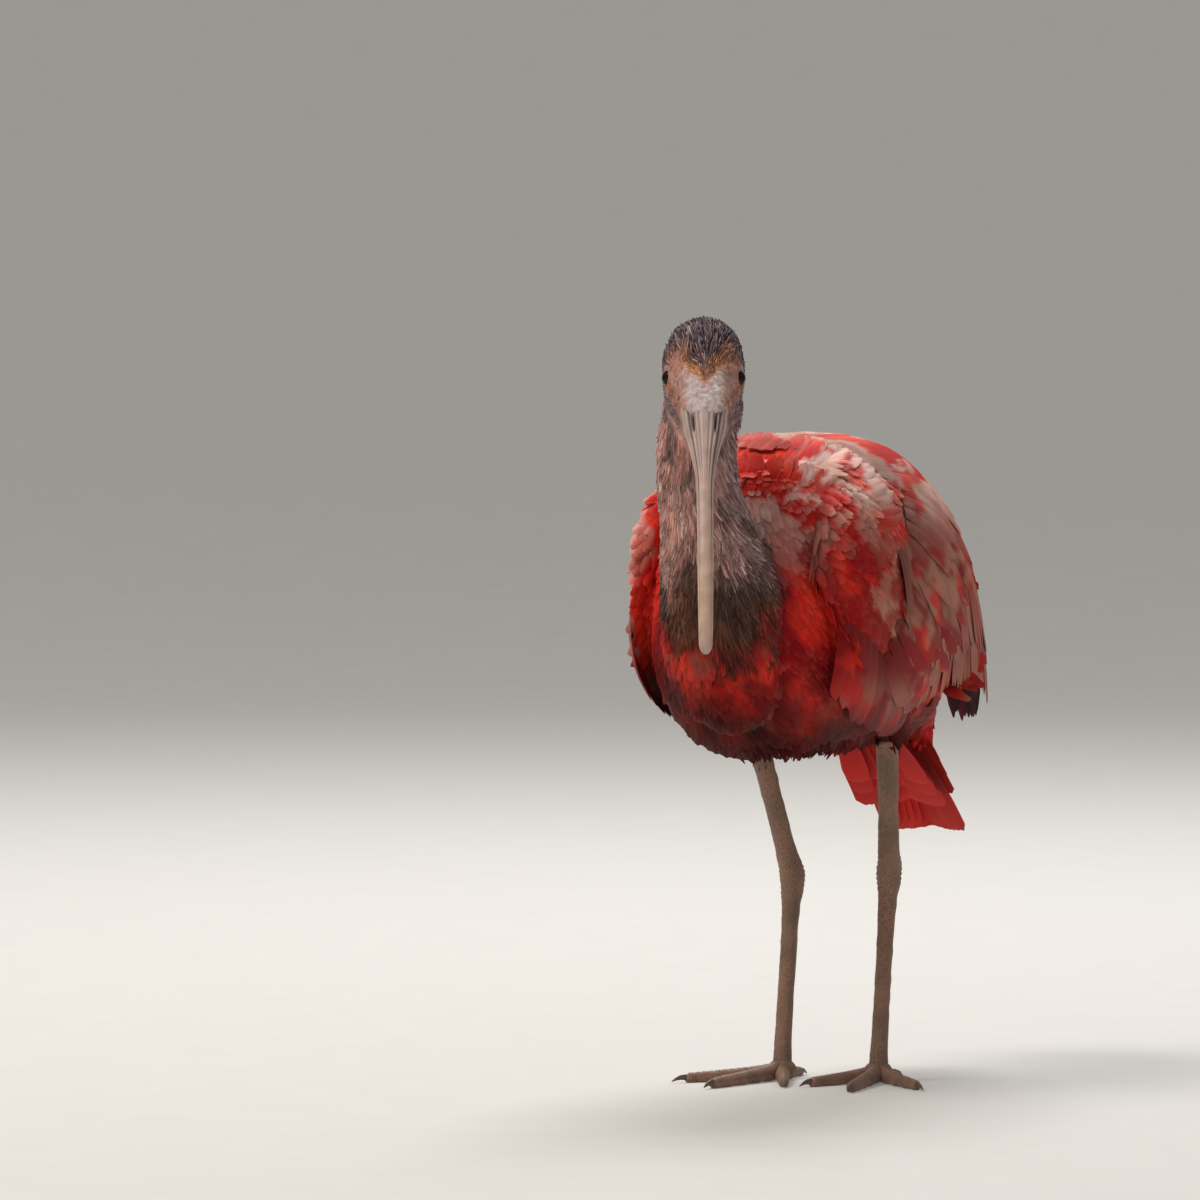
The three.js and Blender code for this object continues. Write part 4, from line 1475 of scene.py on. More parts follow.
    def attributes(self, points: Array, normals: Array) -> dict[str, Array]:
        """Colours, lie, cover and map places for every vertex.

        Args:
            points: The vertices, in millimetres.
            normals: Their outward directions.

        Returns:
            Values by name.
        """
        base, edge, share = MARKINGS.tints(points)
        muzzle = HEAD.place(25, 0, -9)
        away = unit(points - muzzle) + np.array([0, 0, -0.35])
        down = np.array([0.0, 0.6, -1.0])
        outward = np.clip(points[:, 0] / 32, -1, 1)
        level = np.full(len(points), 0.15)
        fronting = ramp(-normals[:, 1], -0.1, 0.5)[:, None]
        spreading = np.stack([0.9 * outward, level, level - 1.15], 1)
        back = lerp(np.array([0.0, 1.0, -0.4]), spreading, fronting)
        back = lerp(back, np.array([0.0, 0.1, -1.0]), ramp(normals[:, 1], 0.35, 0.7)[:, None])
        stray = np.stack([MARKINGS.noise.at(points + 300 * k, 5) for k in (1, 2, 3)], 1)
        away = away + 0.55 * stray
        down = down + 0.3 * stray
        flow = away * share["head"][:, None] + down * share["neck"][:, None]
        flow += back * share["torso"][:, None]
        hem = np.where(points[:, 0] > 0, LEGS[1].hem, LEGS[0].hem)
        thigh = ramp(hem + 10 - points[:, 2], 0, 10)
        side = np.sign(points[:, 0])
        folded = np.stack([0.3 * side, np.ones(len(points)), np.full(len(points), -0.9)], 1)
        fill = WING_FACE.fill(points)
        onto = ramp(fill, 0.84, 0.9) * ramp(np.abs(points[:, 0]), 30, 40) * (normals[:, 1] < 0.4)
        flow = lerp(flow, folded, (onto * (share["torso"] > 0.5))[:, None])
        flow = lerp(flow, np.array([0.0, 0.1, -1.0]), thigh[:, None])
        flow = flow - normals * np.sum(flow * normals, 1, keepdims=True)
        wing = ramp(fill, 0.86, 0.9) * (points[:, 1] > -96) * (share["torso"] > 0.5)
        wing = wing * (normals[:, 2] > -0.6)
        around, strip = unwrapped(points)
        open_face = share["bare"] > 0.5
        head = (share["head"] > 0.5) & ~open_face
        forward, side, _ = HEAD.local(points)
        x, y, z = points.T
        brow = head & (forward > -9) & (z > 298) & (np.abs(side) < 10)
        neck = (share["neck"] >= 0.5) & ~open_face
        body = (share["torso"] > 0.5) & (wing < 0.5) & (thigh < 0.5)
        covers = {
            "head": head & ~brow,
            "brow": brow,
            "throat": neck & (z > self.bib_top),
            "bib": neck & (z <= self.bib_top),
            "breast": body & (y <= self.breast_end),
            "flank": body & (y > self.breast_end) & (y <= self.flank_end),
            "rump": body & (y > self.flank_end),
            "left": (wing >= 0.5) & (x > 0),
            "right": (wing >= 0.5) & (x <= 0),
            "thighs": (thigh >= 0.5) & (z > hem + 1),
        }
        return {
            "tint": base,
            "edge_tint": edge,
            "flow": unit(flow),
            "around": around,
            "strip": strip,
            "bare": share["bare"],
            "size": self.feather_size(points, share),
        } | {f"cover_{name}": cover.astype(float) for name, cover in covers.items()}

    def feather_size(self, points: Array, share: dict[str, Array]) -> Array:
        """How large the feathers are, as a share: smallest round the face and on the thighs."""
        forward, _, up = HEAD.local(points)
        face = ramp(forward - 0.6 * np.maximum(up, 0), -8, 3) * share["head"]
        low = ramp(154 - points[:, 2], 0, 14)
        return (1 - 0.42 * face) * (1 - 0.35 * low)


# Coat


@dataclass(frozen=True)
class VanePattern:
    """The shape of one kind of small feather, one unit long and one wide."""

    name: str
    rows: int = 5
    columns: int = 4
    cup: float = 0.3
    curl: float = 0.1  # rise of the tip, as a share of the length
    point: float = 0.45  # width at the tip, as a share of the full width
    bend: float = 0.06
    fray: float = 0.08
    variants: int = 4

    def build(self, home: bpy.types.Collection) -> None:
        """Adds the variants to a collection.

        Args:
            home: The collection that the coat draws from.
        """
        random = np.random.default_rng(SEED + len(self.name))
        for k in range(self.variants):
            t = np.linspace(0, 1, self.rows + 1)
            lean = self.bend * random.uniform(-1, 1)
            rise = self.curl * random.uniform(0.4, 1.5)
            spine = np.stack([lean * t**2, t, rise * t**3 + 0.05 * np.sin(math.pi * t)], 1)
            widths = [0.35, 0.75, 1, 0.88 * (0.6 + 0.4 * self.point), self.point]
            halves = np.interp(t, [0, 0.18, 0.5, 0.85, 1], widths) / 2
            fray = self.fray * random.uniform(-1, 1, self.columns + 1)
            normals = np.tile(UP, (self.rows + 1, 1))
            vane = vane_surface(spine, normals, halves, self.cup, self.columns, fray)
            mesh = bpy.data.meshes.new(f"{self.name}_{k}")
            mesh.from_pydata(vane.points.tolist(), [], vane.faces)
            layer = mesh.uv_layers.new(name="vane")
            layer.data.foreach_set("uv", vane.corners.astype(np.float32).ravel())
            smooth_faces(mesh)
            home.objects.link(bpy.data.objects.new(f"{self.name}_{k}", mesh))


@dataclass(frozen=True)
class CoatTree:
    """Geometry Nodes that set feathers over a skin along its lie."""

    name: str = "feather_coat"
    density: float = 3.0e6  # most points for each square metre
    inputs: tuple[tuple[str, str], ...] = (
        ("Cover", "String"),
        ("Spacing", "Float"),
        ("Length", "Float"),
        ("Width", "Float"),
        ("Lift", "Float"),
        ("Ruffle", "Float"),
        ("Sink", "Float"),
        ("Seed", "Int"),
        ("Vanes", "Collection"),
        ("Finish", "Material"),
    )
    draws: tuple[tuple[float, float, str], ...] = (
        (0.86, 1.1, "FLOAT"),  # shade
        (-1.0, 1.0, "FLOAT"),  # tilt
        (-1.6, 1.6, "FLOAT"),  # turn
        (-1.2, 1.2, "FLOAT"),  # roll
        (0.82, 1.22, "FLOAT"),  # size
        (0, 99, "INT"),  # which vane
        (0.0, 1.0, "FLOAT"),  # lot
    )

    def build(self) -> bpy.types.NodeTree:
        """Makes the tree with its named inputs."""
        tree = bpy.data.node_groups.new(self.name, "GeometryNodeTree")
        for way in ("INPUT", "OUTPUT"):
            tree.interface.new_socket("Geometry", in_out=way, socket_type="NodeSocketGeometry")
        for label, kind in self.inputs:
            tree.interface.new_socket(label, in_out="INPUT", socket_type=f"NodeSocket{kind}")
        start = add_node(tree, "NodeGroupInput").outputs
        spread = self.spread(tree, start)
        placed = self.placed(tree, start, spread)
        inputs = {"Geometry": self.mapped(tree, placed), "Material": start["Finish"]}
        add_node(tree, "NodeGroupOutput", {0: add_node(tree, "GeometryNodeSetMaterial", inputs).outputs[0]})
        return tree

    def read(self, tree: bpy.types.NodeTree, name: Value | str, kind: str = "FLOAT") -> bpy.types.NodeSocket:
        """A stored value of the skin or the vane."""
        node = add_node(tree, "GeometryNodeInputNamedAttribute", {"Name": name}, data_type=kind)
        return node.outputs["Attribute"]

    def keep(
        self,
        tree: bpy.types.NodeTree,
        geometry: bpy.types.NodeSocket,
        name: str,
        value: bpy.types.NodeSocket,
        kind: tuple[str, str] = ("FLOAT", "POINT"),
    ) -> bpy.types.NodeSocket:
        """Stores a value on a geometry.

        Args:
            tree: The tree to add to.
            geometry: The geometry.
            name: The value's name.
            value: The value.
            kind: Its type and where it is stored.

        Returns:
            The geometry with the value.
        """
        inputs = {"Geometry": geometry, "Name": name, "Value": value}
        node = add_node(tree, "GeometryNodeStoreNamedAttribute", inputs, data_type=kind[0], domain=kind[1])
        return node.outputs[0]

    def draw(
        self, tree: bpy.types.NodeTree, seed: bpy.types.NodeSocket, low: float, high: float, kind: str
    ) -> bpy.types.NodeSocket:
        """A random value for each feather.

        Args:
            tree: The tree to add to.
            seed: The seed of this draw.
            low: The least value.
            high: The greatest value.
            kind: The value's type.

        Returns:
            The value.
        """
        node = add_node(tree, "FunctionNodeRandomValue", {"Seed": seed}, data_type=kind)
        least, greatest = [s for s in node.inputs if s.enabled and s.name in ("Min", "Max")]
        least.default_value, greatest.default_value = low, high
        return next(s for s in node.outputs if s.enabled)

    def spread(self, tree: bpy.types.NodeTree, start: bpy.types.NodeOutputs) -> bpy.types.NodeOutputs:
        """Sets points over the covered part of the skin.

        Args:
            tree: The tree to add to.
            start: The tree's own inputs.

        Returns:
            The points with their normals and rotations.
        """
        cover = {0: self.read(tree, start["Cover"]), 1: 0.5}
        chosen = add_node(tree, "FunctionNodeCompare", cover, data_type="FLOAT", operation="GREATER_THAN")
        inputs = {
            "Mesh": start["Geometry"],
            "Selection": chosen.outputs[0],
            "Distance Min": start["Spacing"],
            "Density Max": self.density,
            "Seed": start["Seed"],
        }
        kind = "GeometryNodeDistributePointsOnFaces"
        return add_node(tree, kind, inputs, distribute_method="POISSON").outputs

    def placed(
        self, tree: bpy.types.NodeTree, start: bpy.types.NodeOutputs, spread: bpy.types.NodeOutputs
    ) -> bpy.types.NodeSocket:
        """Sets a feather on every point, turned along the lie and varied by the draws.

        Args:
            tree: The tree to add to.
            start: The tree's own inputs.
            spread: The points with their normals and rotations.

        Returns:
            The feathers as plain geometry.
        """
        shade, tilt, turn, roll, size, pick, lot = (
            self.draw(tree, calc(tree, "ADD", start["Seed"], float(shift)), low, high, kind)
            for shift, (low, high, kind) in enumerate(self.draws, 1)
        )
        points = self.keep(tree, spread["Points"], "shade", shade)
        points = self.keep(tree, points, "lot", lot)
        lie = {"Rotation": spread["Rotation"], "Vector": self.read(tree, "flow", "FLOAT_VECTOR")}
        stand = add_node(tree, "FunctionNodeAlignRotationToVector", lie, axis="Y", pivot_axis="Z")
        tilt, turn, roll = (calc(tree, "MULTIPLY", start["Ruffle"], drawn) for drawn in (tilt, turn, roll))
        angles = combined(tree, calc(tree, "ADD", start["Lift"], tilt), roll, turn)
        own = add_node(tree, "FunctionNodeEulerToRotation", {0: angles})
        both = {0: stand.outputs[0], 1: own.outputs[0]}
        set_up = add_node(tree, "FunctionNodeRotateRotation", both, rotation_space="LOCAL")
        grown = calc(tree, "MULTIPLY", size, self.read(tree, "size"))
        wide, long = (calc(tree, "MULTIPLY", start[label], grown) for label in ("Width", "Length"))
        drawn_from = {"Collection": start["Vanes"], "Separate Children": True, "Reset Children": True}
        vanes = add_node(tree, "GeometryNodeCollectionInfo", drawn_from)
        sunk = {"Geometry": points, "Offset": scaled(tree, spread["Normal"], start["Sink"])}
        inputs = {
            "Points": add_node(tree, "GeometryNodeSetPosition", sunk).outputs[0],
            "Instance": vanes.outputs[0],
            "Pick Instance": True,
            "Instance Index": pick,
            "Rotation": set_up.outputs[0],
            "Scale": combined(tree, wide, long, long),
        }
        feathers = add_node(tree, "GeometryNodeInstanceOnPoints", inputs)
        return add_node(tree, "GeometryNodeRealizeInstances", {0: feathers.outputs[0]}).outputs[0]

    def mapped(self, tree: bpy.types.NodeTree, feathers: bpy.types.NodeSocket) -> bpy.types.NodeSocket:
        """Gives each feather its own patch of the baking map.

        Args:
            tree: The tree to add to.
            feathers: The feathers as plain geometry.

        Returns:
            The feathers with their map.
        """
        cos, sin, along = separated(tree, self.read(tree, "around", "FLOAT_VECTOR"))
        begin, width, _ = separated(tree, self.read(tree, "strip", "FLOAT_VECTOR"))
        share = calc(tree, "MULTIPLY_ADD", calc(tree, "ARCTAN2", sin, cos), 1 / TAU, 0.5)
        root = combined(tree, calc(tree, "MULTIPLY_ADD", share, width, begin), along)
        patch = scaled(tree, self.read(tree, "vane", "FLOAT_VECTOR"), PATCH)
        spot = add_node(tree, "ShaderNodeVectorMath", {0: root, 1: patch}, operation="ADD").outputs[0]
        return self.keep(tree, feathers, "OFBake", spot, ("FLOAT2", "CORNER"))


@dataclass(frozen=True)
class CoatPiece:
    """One piece of the coat: where it grows and how large its feathers are, in millimetres."""

    name: str
    cover: str
    pattern: VanePattern
    spacing: float
    length: float
    width: float
    lift: float  # degrees
    ruffle: float  # degrees
    sink: float
    seed: int
    soften: float = 0.0  # how far the colour runs on across the feathers, from 0 to 1

    def run_on(self, mesh: bpy.types.Mesh, place: Placement) -> None:
        """Lets the markings run on across neighbouring feathers.

        Args:
            mesh: The piece's mesh.
            place: The bird's placement.
        """
        here = MARKINGS.tints(place.layout(read_out(mesh.vertices, "co", 3).astype(float)))
        for name, local in zip(("tint", "edge_tint"), here[:2]):
            data = mesh.attributes[name].data
            shades = read_out(data, "color", 4)
            shades[:, :3] = lerp(shades[:, :3], local, self.soften)
            data.foreach_set("color", shades.ravel())

    def build(
        self,
        skin: bpy.types.Object,
        tree: bpy.types.NodeTree,
        home: bpy.types.Collection,
        finish: bpy.types.Material,
        place: Placement,
    ) -> bpy.types.Object:
        """Grows the piece on the skin and turns it into a plain mesh.

        Args:
            skin: The finished skin.
            tree: The tree that sets the feathers.
            home: The feathers to draw from.
            finish: Their material.
            place: The bird's placement.

        Returns:
            The piece, still to be handed to the frame.
        """
        host = linked(f"{self.name}_host", skin.data)
        modifier = host.modifiers.new("coat", "NODES")
        modifier.node_group = tree
        settings = {
            "Cover": self.cover,
            "Spacing": self.spacing * MM,
            "Length": self.length * MM,
            "Width": self.width * MM,
            "Lift": math.radians(self.lift),
            "Ruffle": math.radians(self.ruffle),
            "Sink": -self.sink * MM,
            "Seed": self.seed,
            "Vanes": home,
            "Finish": finish,
        }
        for item in tree.interface.items_tree:
            if item.in_out == "INPUT" and item.name in settings:
                modifier[item.identifier] = settings[item.name]
        graph = bpy.context.evaluated_depsgraph_get()
        mesh = bpy.data.meshes.new_from_object(
            host.evaluated_get(graph), preserve_all_data_layers=True, depsgraph=graph
        )
        mesh.name = self.name
        host.modifiers.remove(modifier)
        bpy.data.objects.remove(host)
        covers = [each.name for each in mesh.attributes if each.name.startswith("cover_")]
        for label in ("flow", "around", "strip", "bare", "size", *covers):
            if label in mesh.attributes:
                mesh.attributes.remove(mesh.attributes[label])
        if self.soften:
            self.run_on(mesh, place)
        return linked(self.name, mesh)


@dataclass
class Coat:
    """The small feathers of head, neck and body."""

    skin: bpy.types.Object
    place: Placement
    wisps: VanePattern = VanePattern("wisp", 5, 1, 0.3, -0.1, 0.3, 0.5, 0.0, 8)
    streaks: VanePattern = VanePattern("streak", 5, 2, 0.3, 0.03, 0.3, 0.3, 0.08, 8)
    contours: VanePattern = VanePattern("contour", 4, 4, 0.14, 0.01, 0.5, 0.08, 0.09, 8)

    def pieces(self) -> tuple[CoatPiece, ...]:
        """The coat's pieces, from crown to thigh."""
        return (
            CoatPiece("coat_head", "cover_head", self.wisps, 0.5, 4.9, 0.72, 7.5, 3.5, 0.02, 11),
            CoatPiece("coat_brow", "cover_brow", self.streaks, 0.56, 4.4, 0.62, 13, 6, 0.0, 21),
            CoatPiece("coat_throat", "cover_throat", self.streaks, 0.76, 7.6, 0.95, 4, 4.5, 0.2, 12),
            CoatPiece("coat_bib", "cover_bib", self.streaks, 0.8, 8.0, 1.1, 4, 5, 0.3, 18),
            CoatPiece("coat_breast", "cover_breast", self.contours, 1.75, 11, 4.6, 3.5, 3, 0.5, 13, 0.8),
            CoatPiece("coat_flank", "cover_flank", self.contours, 2.1, 13, 5.5, 3.5, 3, 0.5, 19, 0.8),
            CoatPiece("coat_rump", "cover_rump", self.contours, 2.3, 14, 6.2, 3.5, 3, 0.5, 14, 0.7),
            CoatPiece("coverts_left", "cover_left", self.contours, 2.1, 11, 5.6, 2.4, 2, 0.4, 15, 0.75),
            CoatPiece("coverts_right", "cover_right", self.contours, 2.1, 11, 5.6, 2.4, 2, 0.4, 16, 0.75),
            CoatPiece("coat_thighs", "cover_thighs", self.streaks, 1.4, 10, 2.0, 9, 7, 0.1, 17),
        )

    def build(self, finish: bpy.types.Material, fine: bpy.types.Material) -> None:
        """Grows every piece and hands it to the frame.

        Args:
            finish: Material of the broad feathers.
            fine: Material of the fine feathers of head and neck.
        """
        tree = CoatTree().build()
        homes: dict[str, bpy.types.Collection] = {}
        for pattern in (self.wisps, self.streaks, self.contours):
            home = bpy.data.collections.new(pattern.name)
            pattern.build(home)
            homes[pattern.name] = home
        slots = dict.fromkeys(("coat_head", "coat_brow", "coat_throat", "coat_bib"), "neck_plumage")
        slots |= {"coverts_left": "wing_plumage", "coverts_right": "wing_plumage"}
        for plan in self.pieces():
            used = finish if plan.pattern is self.contours else fine
            piece = plan.build(self.skin, tree, homes[plan.pattern.name], used, self.place)
            dressed(piece)
        for home in homes.values():
            for sample in list(home.objects):
                bpy.data.objects.remove(sample)
            bpy.data.collections.remove(home)


# Wings and tail


class Tone(Enum):
    """How a tier of large feathers is coloured over the markings under it."""

    MARKED = "as the markings"
    BUFF = "long buff strands"
    DARK = "dark flight feathers"


MARKED, BUFF, DARK = Tone
SOFTEN = {MARKED: 0.88, BUFF: 0.2, DARK: 0.0}  # how far the markings run on across the vanes
BLUNT, POINTED = (0.45, 0.7, 1.0, 0.92, 0.66, 0.3), (0.45, 0.7, 1.0, 0.8, 0.5, 0.12)

@dataclass(frozen=True)
class Tier:
    """One tier of the folded wing. Pairs run from the feather nearest the back to the lowest."""

    name: str
    count: int
    root_y: tuple[float, float]
    root_angle: tuple[float, float]
    tip_y: tuple[float, float]
    tip_angle: tuple[float, float]
    width: tuple[float, float]
    lift: tuple[float, float]
    tone: Tone = MARKED
    rows: int = 14
    columns: int = 6
    rise: float = 0.5  # how late along the feather it rises from its root's height to its tip's


# Columns: name, count, pairs for root and tip, width and lift, tone, rows, columns, rise
WING_TIERS = (
    Tier("primaries", 8, (60, 50), (40, 82), (137, 126), (28, 64), (12, 8), (-3.6, -3.0), DARK, 18),
    Tier("secondaries", 9, (44, 26), (14, 84), (124, 108), (12, 84), (15, 10), (-3.5, -2.0), DARK, 18),
    Tier("tertials", 9, (2, 16), (3, 52), (118, 122), (1.6, 56), (20, 12), (-3.4, -0.6), MARKED, 26, 8),
    Tier(
        "long plumes", 36, (70, -30), (44, 80), (110, -4), (88, 138), (6.5, 5), (-3.2, -0.8), BUFF, 18, 4
    ),
    Tier(
        "short plumes", 36, (58, -36), (44, 76), (94, -16), (78, 128), (6.5, 5), (-2.6, 0.0), BUFF, 14, 4
    ),
    Tier("scapulars", 12, (-24, 8), (2, 48), (66, 82), (1.6, 62), (15, 13), (-3.0, 0.4), MARKED, 20, 8),
    Tier(
        "upper scapulars", 12, (-56, -22), (1.5, 44), (30, 50), (1.2, 58), (14, 13), (-2.8, 0.8),
        MARKED, 18, 8,
    ),
    Tier(
        "mantle", 26, (-90, -84), (1, 58), (-36, -32), (0.6, 66), (8.5, 8), (-17, 0.4), MARKED, 16, 8, 0.8
    ),
    Tier(
        "short mantle", 24, (-93, -88), (2, 60), (-66, -60), (2, 68), (8, 7), (-19, -1.0), MARKED, 10, 6, 0.9
    ),
    Tier(
        "flank feathers", 12, (-80, -20), (94, 124), (-74, 12), (132, 150), (13, 12), (-2.5, 0.6), MARKED, 12
    ),
    Tier(
        "greater coverts", 12, (20, -34), (50, 110), (64, 2), (66, 128), (14, 12), (-2.8, 0.4), MARKED, 12
    ),
    Tier(
        "median coverts", 12, (-8, -46), (44, 108), (34, -12), (60, 126), (14, 12), (-2.6, 0.8), MARKED, 10
    ),
)


def coloured(vane: Surface, tint: Array, edge: Array, shade: float, root: Array) -> Surface:
    """Gives a large vane its colours and its root's place on the flat map.

    Args:
        vane: The vane.
        tint: Main colour, one for the vane or one for each point.
        edge: Edge colour, likewise.
        shade: Depth of colour, where 1 leaves it as it is.
        root: Where the vane begins.

    Returns:
        The same vane.
    """
    count = len(vane.points)
    vane.shades = {
        "tint": np.broadcast_to(tint, (count, 3)),
        "edge_tint": np.broadcast_to(edge, (count, 3)),
        "shade": np.full(count, shade),
        "lot": np.full(count, 0.5),
        "root": np.tile([*map_place(root[None])[0], 0.0], (count, 1)),
    }
    return vane


@dataclass
class Wing:
    """One folded wing: tiers of large vanes from the primaries out to the coverts."""

    side: Side
    place: Placement
    tiers: tuple[Tier, ...] = WING_TIERS
    lean: float = 0.7  # how far one edge of a vane stands over the other
    over: float = 0.5  # how far the right wing closes over the left
    stray: tuple[float, ...] = (2.2, 1.6, 0.25, 0.06)  # spread of tip, tip's angle, lift and width

    def tint(self, tone: Tone, root: Array, tip: Array, k: int) -> tuple[Array, Array]:
        """The two colours of one vane.

        Args:
            tone: How the tier is coloured.
            root: The vane's root.
            tip: Its tip.
            k: Its number in the tier.

        Returns:
            Main and edge colours.
        """
        middle = (root + 1.6 * tip) / 2.6
        base, edge = (c[0] for c in MARKINGS.body_tints(middle[None]))
        if tone is BUFF:
            buff = blend("#8E5648", "#BC8672", 0.5 + 0.5 * math.sin(7.3 * k))
            base, edge = blend(base, buff, 0.82), blend(edge, "#D2A592", 0.6)
        if tone is DARK:
            base = blend("#7C1216", "#2A0A10", 0.5 + 0.5 * math.sin(2.1 * k))
            edge = colour("#100609")
        return base, edge

    def vane(self, tier: Tier, k: int, random: np.random.Generator) -> Surface:
        """One vane of a tier.

        Args:
            tier: The tier.
            k: The vane's number.
            random: The wing's own draw.

        Returns:
            The vane with its colours and root.
        """
        t = k / (tier.count - 1)
        stray = np.array(self.stray) * random.uniform(-1, 1, 4)
        share = np.linspace(0, 1, tier.rows + 1)
        y = lerp(lerp(*tier.root_y, t), lerp(*tier.tip_y, t) + stray[0], share)
        angle = np.radians(lerp(lerp(*tier.root_angle, t), lerp(*tier.tip_angle, t) + stray[1], share))
        over = self.over * (self.side is Side.RIGHT)
        lift = lerp(tier.lift[0], tier.lift[1] + stray[2], share**tier.rise) + over
        spine, normals = wing_place(y, angle, lift, self.side)
        widths = POINTED if tier.tone is DARK else BLUNT
        outline = np.interp(share, [0, 0.15, 0.5, 0.86, 0.95, 1], widths)
        halves = lerp(*tier.width, share) * outline * (1 + stray[3]) / 2
        fray = random.uniform(-1, 1, tier.columns + 1) * 0.14 * tier.width[1]
        along = unit(np.gradient(spine, axis=0))
        sideways = unit(np.cross(normals, along))
        leaned = unit(normals + sideways * self.lean * 0.12 * self.side.value)
        vane = vane_surface(spine, leaned, halves, 0.2, tier.columns, fray)
        base, edge = self.tint(tier.tone, spine[0], spine[-1], k)
        tone = 1 + 0.16 * random.uniform(-1, 1)
        here = MARKINGS.body_tints(vane.points)
        main = np.tile(base, (len(vane.points), 1))
        if tier.tone is DARK:
            main = blend("#8A3B30", main, ramp(np.repeat(share, tier.columns + 1), 0.66, 0.9))
        soften = SOFTEN[tier.tone]
        return coloured(vane, lerp(main, here[0], soften), lerp(edge, here[1], soften), tone, spine[0])

    def build(self, finish: bpy.types.Material) -> bpy.types.Object:
        """Makes the wing's vanes as one piece.

        Args:
            finish: The vanes' material.

        Returns:
            The piece, handed to the frame.
        """
        random = np.random.default_rng(SEED + 30 + self.side.value)
        vanes = [self.vane(tier, k, random) for tier in self.tiers for k in range(tier.count)]
        piece = make_piece(f"vanes_{self.side.word}", Surface.joined(vanes), self.place, [finish], "vane")
        add_bake_map(piece.data)
        return dressed(piece, [f"wing_{self.side.word}"])


def add_bake_map(mesh: bpy.types.Mesh) -> None:
    """Gives every vane a small patch at its root's place on the skin's flat map.

    Args:
        mesh: A mesh with a vane map and a stored root for each vertex.
    """
    vane = read_out(mesh.uv_layers["vane"].data, "uv", 2)
    corner = read_out(mesh.loops, "vertex_index", 1, np.int32)[:, 0]
    spots = read_out(mesh.attributes["root"].data, "vector", 3)[corner, :2] + vane * PATCH
    mesh.attributes.remove(mesh.attributes["root"])
    mesh.uv_layers.new(name="OFBake").data.foreach_set("uv", spots.astype(np.float32).ravel())


@dataclass
class Tail:
    """Twelve tail feathers in a closed fan under their coverts."""

    place: Placement
    root: tuple[float, float, float] = (0, 80, 163)
    tip: tuple[float, float, float] = (0, 146, 105)
    feathers: int = 12
    fan: float = 5.0
    width: float = 11.0
    stack: float = 6.5
    apart: float = 9.0  # how far from the middle the outermost tail feather begins
    lean: float = 0.16  # how far the feathers of each side turn outwards
    rows: int = 14
    columns: int = 6

    def feather(
        self,
        share: float,
        length: float,
        start: float,
        width: float,
        lift: float,
        dark: float,
        random: np.random.Generator,
    ) -> Surface:
        """One feather of the tail.

        Args:
            share: Place in the fan, from -1 to 1.
            length: Share of the tail's full length where it ends.
            start: Share where it starts.
            width: Its width.
            lift: Height over the fan.
            dark: How dark its main colour is, from 0 to 1.
            random: The tail's own draw.

        Returns:
            The vane with its colours and root.
        """
        line = np.array(self.tip) - np.array(self.root)
        reach = np.linalg.norm(line)
        along = line / reach
        across = np.array([1.0, 0, 0])
        above = unit(np.cross(along, -across))
        turn = math.radians(-share * self.fan)
        side = np.cross(above, along)
        along = along * math.cos(turn) + side * math.sin(turn)
        t = np.linspace(0, 1, self.rows + 1)
        s = lerp(start, length * (1 - 0.05 * share * share), t)
        droop = -4 * (s - 0.5) ** 2 + 1
        spine = (
            np.array(self.root)
            + np.array([share * self.apart, 0, 0])
            + above * (lift - self.stack * abs(share) + droop)[:, None]
            + along * (s * reach)[:, None]
        )
        halves = width * np.interp(t, [0, 0.3, 0.7, 0.93, 1], [0.5, 0.85, 1, 0.85, 0.35]) / 2
        normals = np.tile(unit(above + self.lean * np.sign(share) * across), (self.rows + 1, 1))
        fray = random.uniform(-0.9, 0.9, self.columns + 1)
        vane = vane_surface(spine, normals, halves, 0.16, self.columns, fray)
        base = blend("#E0261A", "#7E0C0E", np.clip(dark + 0.15 * random.uniform(-1, 1), 0, 1))
        return coloured(vane, base, blend(base, "#E2352A", 0.6), 1 + 0.1 * random.uniform(-1, 1), spine[0])

    def build(self, finish: bpy.types.Material) -> bpy.types.Object:
        """Makes the tail as one piece.

        Args:
            finish: The vanes' material.

        Returns:
            The piece, handed to the frame.
        """
        random = np.random.default_rng(SEED + 50)
        shares = np.linspace(-1, 1, self.feathers)
        parts = [self.feather(s, 1, 0.1, self.width, 0.0, 0.5, random) for s in shares]
        for row, reach in enumerate((0.72, 0.6, 0.48)):
            for s in np.linspace(-1.25, 1.25, 9):
                parts.append(self.feather(s, reach, 0.02, 12, 2.2 + 1.2 * row, 0.35, random))
                parts.append(self.feather(s, reach - 0.04, 0.02, 12, -8.0 - 1.2 * row, 0.45, random))
        piece = make_piece("tail_vanes", Surface.joined(parts), self.place, [finish], "vane")
        add_bake_map(piece.data)
        return dressed(piece, ["tail"])


# Head


